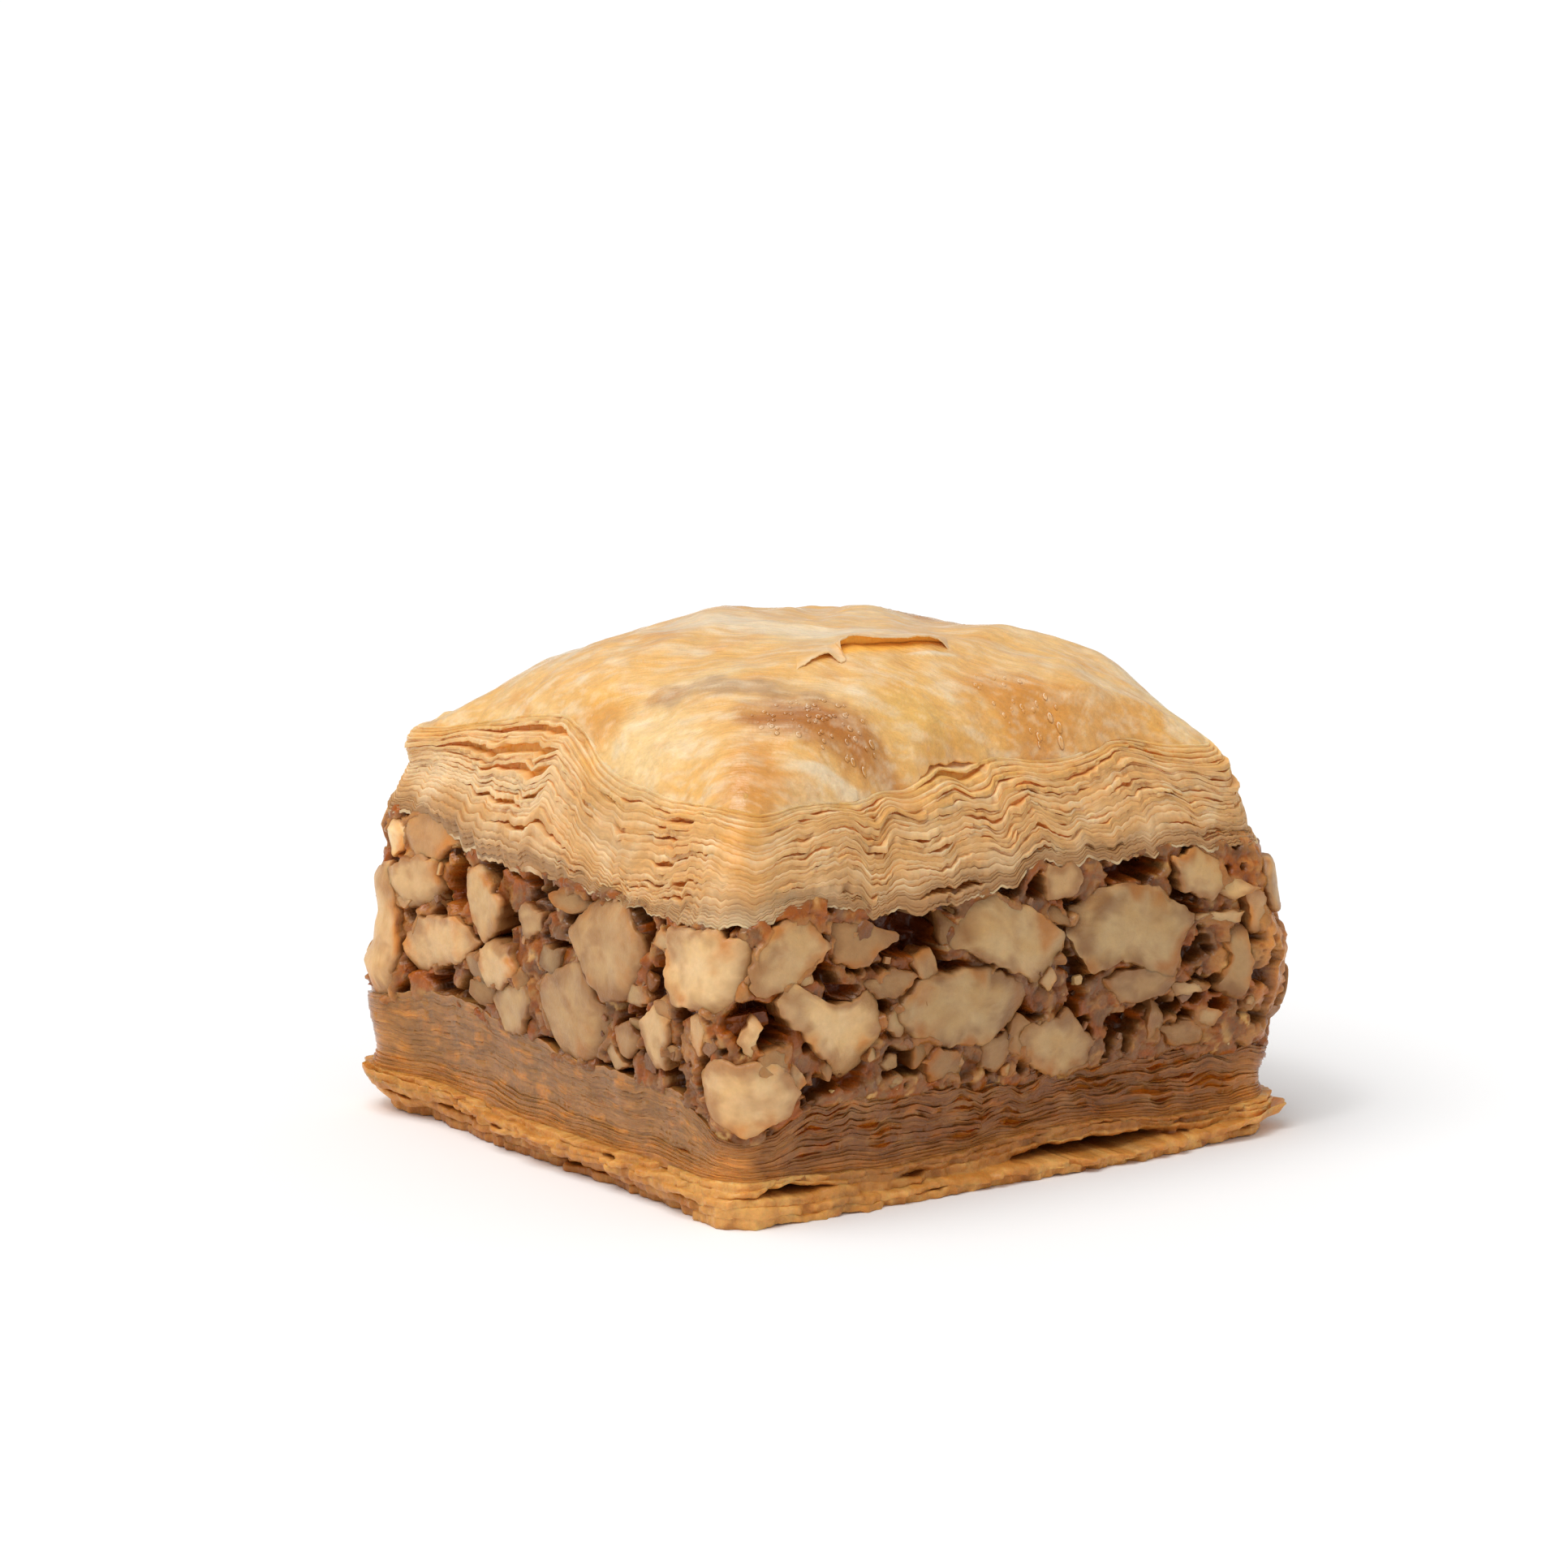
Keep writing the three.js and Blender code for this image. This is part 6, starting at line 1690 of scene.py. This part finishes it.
# ---- where the top leaf has blistered and torn open on the crown
nt_, nd_ = 260, 26
LIP = np.array([                                 # plan place of the torn edge, and how far it stands up
    (-10.4, -10.0, -0.15), (-9.2, -10.0, 0.10), (-8.0, -9.95, 0.28), (-7.1, -9.95, 0.42), (-6.75, -10.2, 0.46),
    (-6.35, -11.0, 0.10), (-5.85, -11.05, 0.08), (-5.75, -10.3, 0.42), (-5.3, -9.55, 0.70), (-4.2, -9.5, 0.82),
    (-2.6, -9.75, 0.80), (-1.0, -10.15, 0.70), (0.6, -10.45, 0.72), (2.0, -10.75, 0.76), (3.0, -11.0, 0.60),
    (3.7, -11.25, 0.15), (4.1, -11.4, -0.15)])
t = np.linspace(0, 1, nt_)
k = np.concatenate([[0], np.cumsum(np.hypot(*np.diff(LIP[:, :2], axis=0).T))])
ex, ey, lift_t = (np.interp(t * k[-1], k, LIP[:, i]) for i in range(3))
for _ in range(5):
    ex[1:-1], ey[1:-1] = (ex[:-2] + ex[1:-1] * 2 + ex[2:]) / 4, (ey[:-2] + ey[1:-1] * 2 + ey[2:]) / 4
    lift_t[1:-1] = (lift_t[:-2] + lift_t[1:-1] * 2 + lift_t[2:]) / 4
rag = 0.12 * perlin(stack3(t * 24, 0 * t, 0 * t), 221) + 0.09 * perlin(stack3(t * 70, 0 * t, 0 * t), 222)
ex, ey = ex + 0.587 * rag, ey + 0.787 * rag
d = np.linspace(0, 1, nd_)[:, None] ** 1.2
smooth_ey = np.interp(ex, LIP[[0, 3, 8, 12, 16], 0], LIP[[0, 3, 8, 12, 16], 1])     # behind the tongue the leaf is whole
reach_ = 3.6 * (1 + 0.2 * perlin(stack3(t * 5, 0 * t, 0 * t + 8), 227))
FX = ex + 0.587 * reach_ * d
FY = mix(ey, smooth_ey, smooth(0.0, 0.35, d)) + 0.787 * reach_ * d
lift_smooth = lift_t.copy()
for _ in range(120):
    lift_smooth[1:-1] = (lift_smooth[:-2] + lift_smooth[1:-1] * 2 + lift_smooth[2:]) / 4
lift_ = mix(lift_t, np.maximum(lift_smooth, lift_t * 0.6), smooth(0.0, 0.35, d)) * (1 - d) ** 1.5
sink_ = 0.30 * smooth(0.55, 1.0, d) + 0.25 * smooth(0.06, 0.0, t) + 0.25 * smooth(0.94, 1.0, t)
FZ = on_top(FX, FY) + 0.05 + lift_ - sink_ + 0.03 * perlin(stack3(FX / 1.1, FY / 1.1, 0 * FX), 223)
topside = stack3(FX, FY, FZ)
inside = on_top(FX, FY) + 0.05 + lift_t * (1 - smooth(0.0, 0.30, d)) - sink_ - 0.08     # it closes just behind its edge
underside = stack3(FX, FY, np.minimum(FZ - 0.09, inside))
ids = np.arange(nd_ * nt_).reshape(nd_, nt_)
q1 = np.stack([ids[:-1, :-1], ids[:-1, 1:], ids[1:, 1:], ids[1:, :-1]], axis=-1).reshape(-1, 4)
m_ = nd_ * nt_
q2 = q1[:, ::-1] + m_
loop = np.concatenate([ids[0, :-1], ids[:-1, -1], ids[-1, :0:-1], ids[:0:-1, 0]])
lj = np.roll(loop, -1)
rimq = np.stack([lj, loop, loop + m_, lj + m_], axis=-1)
fc, fw = top_colour(topside)
fc = blend(fc, C_TOP_MILK, 0.55 * smooth(0.30, 0.0, d + 0 * FX) * smooth(-0.4, 0.2, fbm(topside, 2, 2, 224)))
# painted glow: the flap's underside is painted bright golden, paler by its edge, for light glowing under the lifted
# leaf
underside_glow = blend(np.broadcast_to(lin(250, 184, 80), underside.shape), lin(250, 214, 150), 0.8 * smooth(0.03, 0.0, d + 0 * FX))
fflow = stack3(0.70 * FX - 0.71 * FY, FZ * 4, 0.71 * FX + 0.70 * FY)
torn_leaf = add_mesh("torn_leaf", np.concatenate([topside.reshape(-1, 3), underside.reshape(-1, 3)]),
                     np.concatenate([q1, q2, rimq]), None, np.concatenate([fc.reshape(-1, 3), underside_glow.reshape(-1, 3)]),
                     np.concatenate([0.4 * fw.ravel(), np.full(m_, 0.2)]), FILO_SHRED, sharp=60,
                     flow=np.concatenate([fflow.reshape(-1, 3), fflow.reshape(-1, 3)]))

# ---- little rings where the syrup bubbled on the leaf
rng = np.random.default_rng(311)
RINGS = ((0.0, 0.015), (0.45, 0.03), (0.72, 0.085), (0.90, 0.05), (1.12, -0.04))
bub_v, bub_t, bub_c, nb_, made = [], [], [], 14, 0
for _i in range(3000):
    if made >= 96:
        break
    main_pool = rng.uniform() < 0.72
    bx, by = (rng.uniform(-18, -7), rng.uniform(-20, -11)) if main_pool else (rng.uniform(0, 12), rng.uniform(-19.5, -13.5))
    px_, py_ = np.array([bx]), np.array([by])
    inside = (spot(px_, py_, -12.4, -15.6, 4.6, 2.4, -0.62, 0.3, 300) if main_pool
              else spot(px_, py_, 6.4, -17.0, 4.4, 2.0, -0.45, 0.3, 301))[0]
    if inside < 0.5:
        continue
    rr = float(np.clip(rng.lognormal(-1.95, 0.32), 0.08, 0.21))
    an = np.arange(nb_) / nb_ * 2 * math.pi
    rows_ = [stack3(bx + rr * q_ * np.cos(an) * rng.uniform(0.9, 1.1), by + rr * q_ * np.sin(an), 0 * an + h_ * rr / 0.30)
             for q_, h_ in RINGS[1:]]
    pv = np.concatenate([np.array([[bx, by, RINGS[0][1]]])] + rows_ + [np.array([[bx, by, -0.10]])])
    pv[:, 2] += on_top(pv[:, 0], pv[:, 1]) + 0.015
    i_, j_ = np.arange(nb_), (np.arange(nb_) + 1) % nb_
    tri = [np.stack([np.zeros(nb_, int), 1 + i_, 1 + j_], axis=-1)]
    for q_ in range(len(RINGS) - 2):
        a_, b_ = 1 + q_ * nb_, 1 + (q_ + 1) * nb_
        tri += [np.stack([a_ + i_, b_ + i_, b_ + j_], axis=-1), np.stack([a_ + i_, b_ + j_, a_ + j_], axis=-1)]
    last_ = 1 + (len(RINGS) - 2) * nb_
    tri.append(np.stack([last_ + j_, last_ + i_, np.full(nb_, last_ + nb_)], axis=-1))
    bub_t.append(np.concatenate(tri) + sum(len(v_) for v_ in bub_v))
    cc, _w = top_colour(pv)
    # painted highlight: one side of each bubble's raised ring is painted near white, for a glint of the light
    painted_glint = np.zeros(len(pv))
    painted_glint[1 + nb_:1 + 2 * nb_] = 0.75 * (np.cos(an + rng.uniform(-0.6, 0.6) - 2.2) > 0.1)
    bub_c.append(blend(cc, lin(252, 232, 200), painted_glint))
    bub_v.append(pv)
    made += 1
syrup_bubbles = add_mesh("syrup_bubbles", np.concatenate(bub_v), None, np.concatenate(bub_t), np.concatenate(bub_c),
                         np.full(sum(len(v_) for v_ in bub_v), 1.0), FILO_SHRED)

# ------------------------------------------------------------------ the frame
for piece, slot_name in ((top_leaves, "baked_filo"), (top_leaf, "baked_filo"), (torn_leaf, "baked_filo"),
                         (soaked_leaves, "soaked_filo"), (bottom_crust, "soaked_filo"), (nut_paste, "walnut_filling"),
                         (walnuts_near, "walnut_filling"), (walnuts_small, "walnut_filling"), (nut_crumbs, "walnut_filling"),
                         (syrup_bubbles, "baked_filo")):
    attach(piece, "root")
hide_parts("top_pastry")
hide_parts("bottom_pastry")
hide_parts("walnut_filling")

# ------------------------------------------------------------ floor and light
me = bpy.data.meshes.new("floor")
me.from_pydata([(-6, -6, 0), (6, -6, 0), (6, 6, 0), (-6, 6, 0)], [], [(0, 1, 2, 3)])
floor = bpy.data.objects.new("floor", me)
bpy.context.collection.objects.link(floor)
fm = bpy.data.materials.new("floor")
fm.use_nodes = True
fb_ = fm.node_tree.nodes["Principled BSDF"]
fb_.inputs["Base Color"].default_value = (0.97, 0.97, 0.97, 1)
fb_.inputs["Roughness"].default_value = 0.9
fb_.inputs["Specular IOR Level"].default_value = 0.1
me.materials.append(fm)

world = bpy.data.worlds.new("studio")
bpy.context.scene.world = world
world.use_nodes = True
bg = world.node_tree.nodes["Background"]
bg.inputs["Color"].default_value = (1, 1, 1, 1)
bg.inputs["Strength"].default_value = 0.50


sun = bpy.data.lights.new("key", "SUN")
sun.energy = 1.82
sun.angle = math.radians(55)
sun_o = bpy.data.objects.new("key", sun)
sun_o.rotation_mode = "QUATERNION"
sun_o.rotation_quaternion = Vector((-0.44, 0.02, 0.90)).normalized().to_track_quat("Z", "Y")
bpy.context.collection.objects.link(sun_o)
glint = bpy.data.lights.new("glint", "SUN")
glint.energy = 0.30
glint.angle = math.radians(9)
glint_o = bpy.data.objects.new("glint", glint)
glint_o.rotation_mode = "QUATERNION"
glint_o.rotation_quaternion = Vector((-0.50, -0.10, 0.86)).normalized().to_track_quat("Z", "Y")
bpy.context.collection.objects.link(glint_o)

# -------------------------------------------------------------------- camera
AZ, EL = math.radians(-36.72), math.radians(11.0)
back_ = Vector((math.sin(AZ) * math.cos(EL), -math.cos(AZ) * math.cos(EL), math.sin(EL)))
aim = Vector((-2.54, 1.13, 26.47)) * MM
cam_data = bpy.data.cameras.new("camera")
cam_data.sensor_fit = "HORIZONTAL"
cam_data.sensor_width = 36.0
cam_data.lens = 6890.7 / 1932 * 36.0
cam_data.clip_start = 0.01
cam_data.clip_end = 50.0
cam = bpy.data.objects.new("camera", cam_data)
cam.location = aim + back_ * 0.430
cam.rotation_mode = "QUATERNION"
cam.rotation_quaternion = back_.to_track_quat("Z", "Y")
bpy.context.collection.objects.link(cam)
bpy.context.scene.camera = cam

sc = bpy.context.scene
sc.view_settings.view_transform = "Standard"
sc.view_settings.look = "None"
sc.view_settings.exposure = 0.0
sc.cycles.use_denoising = True
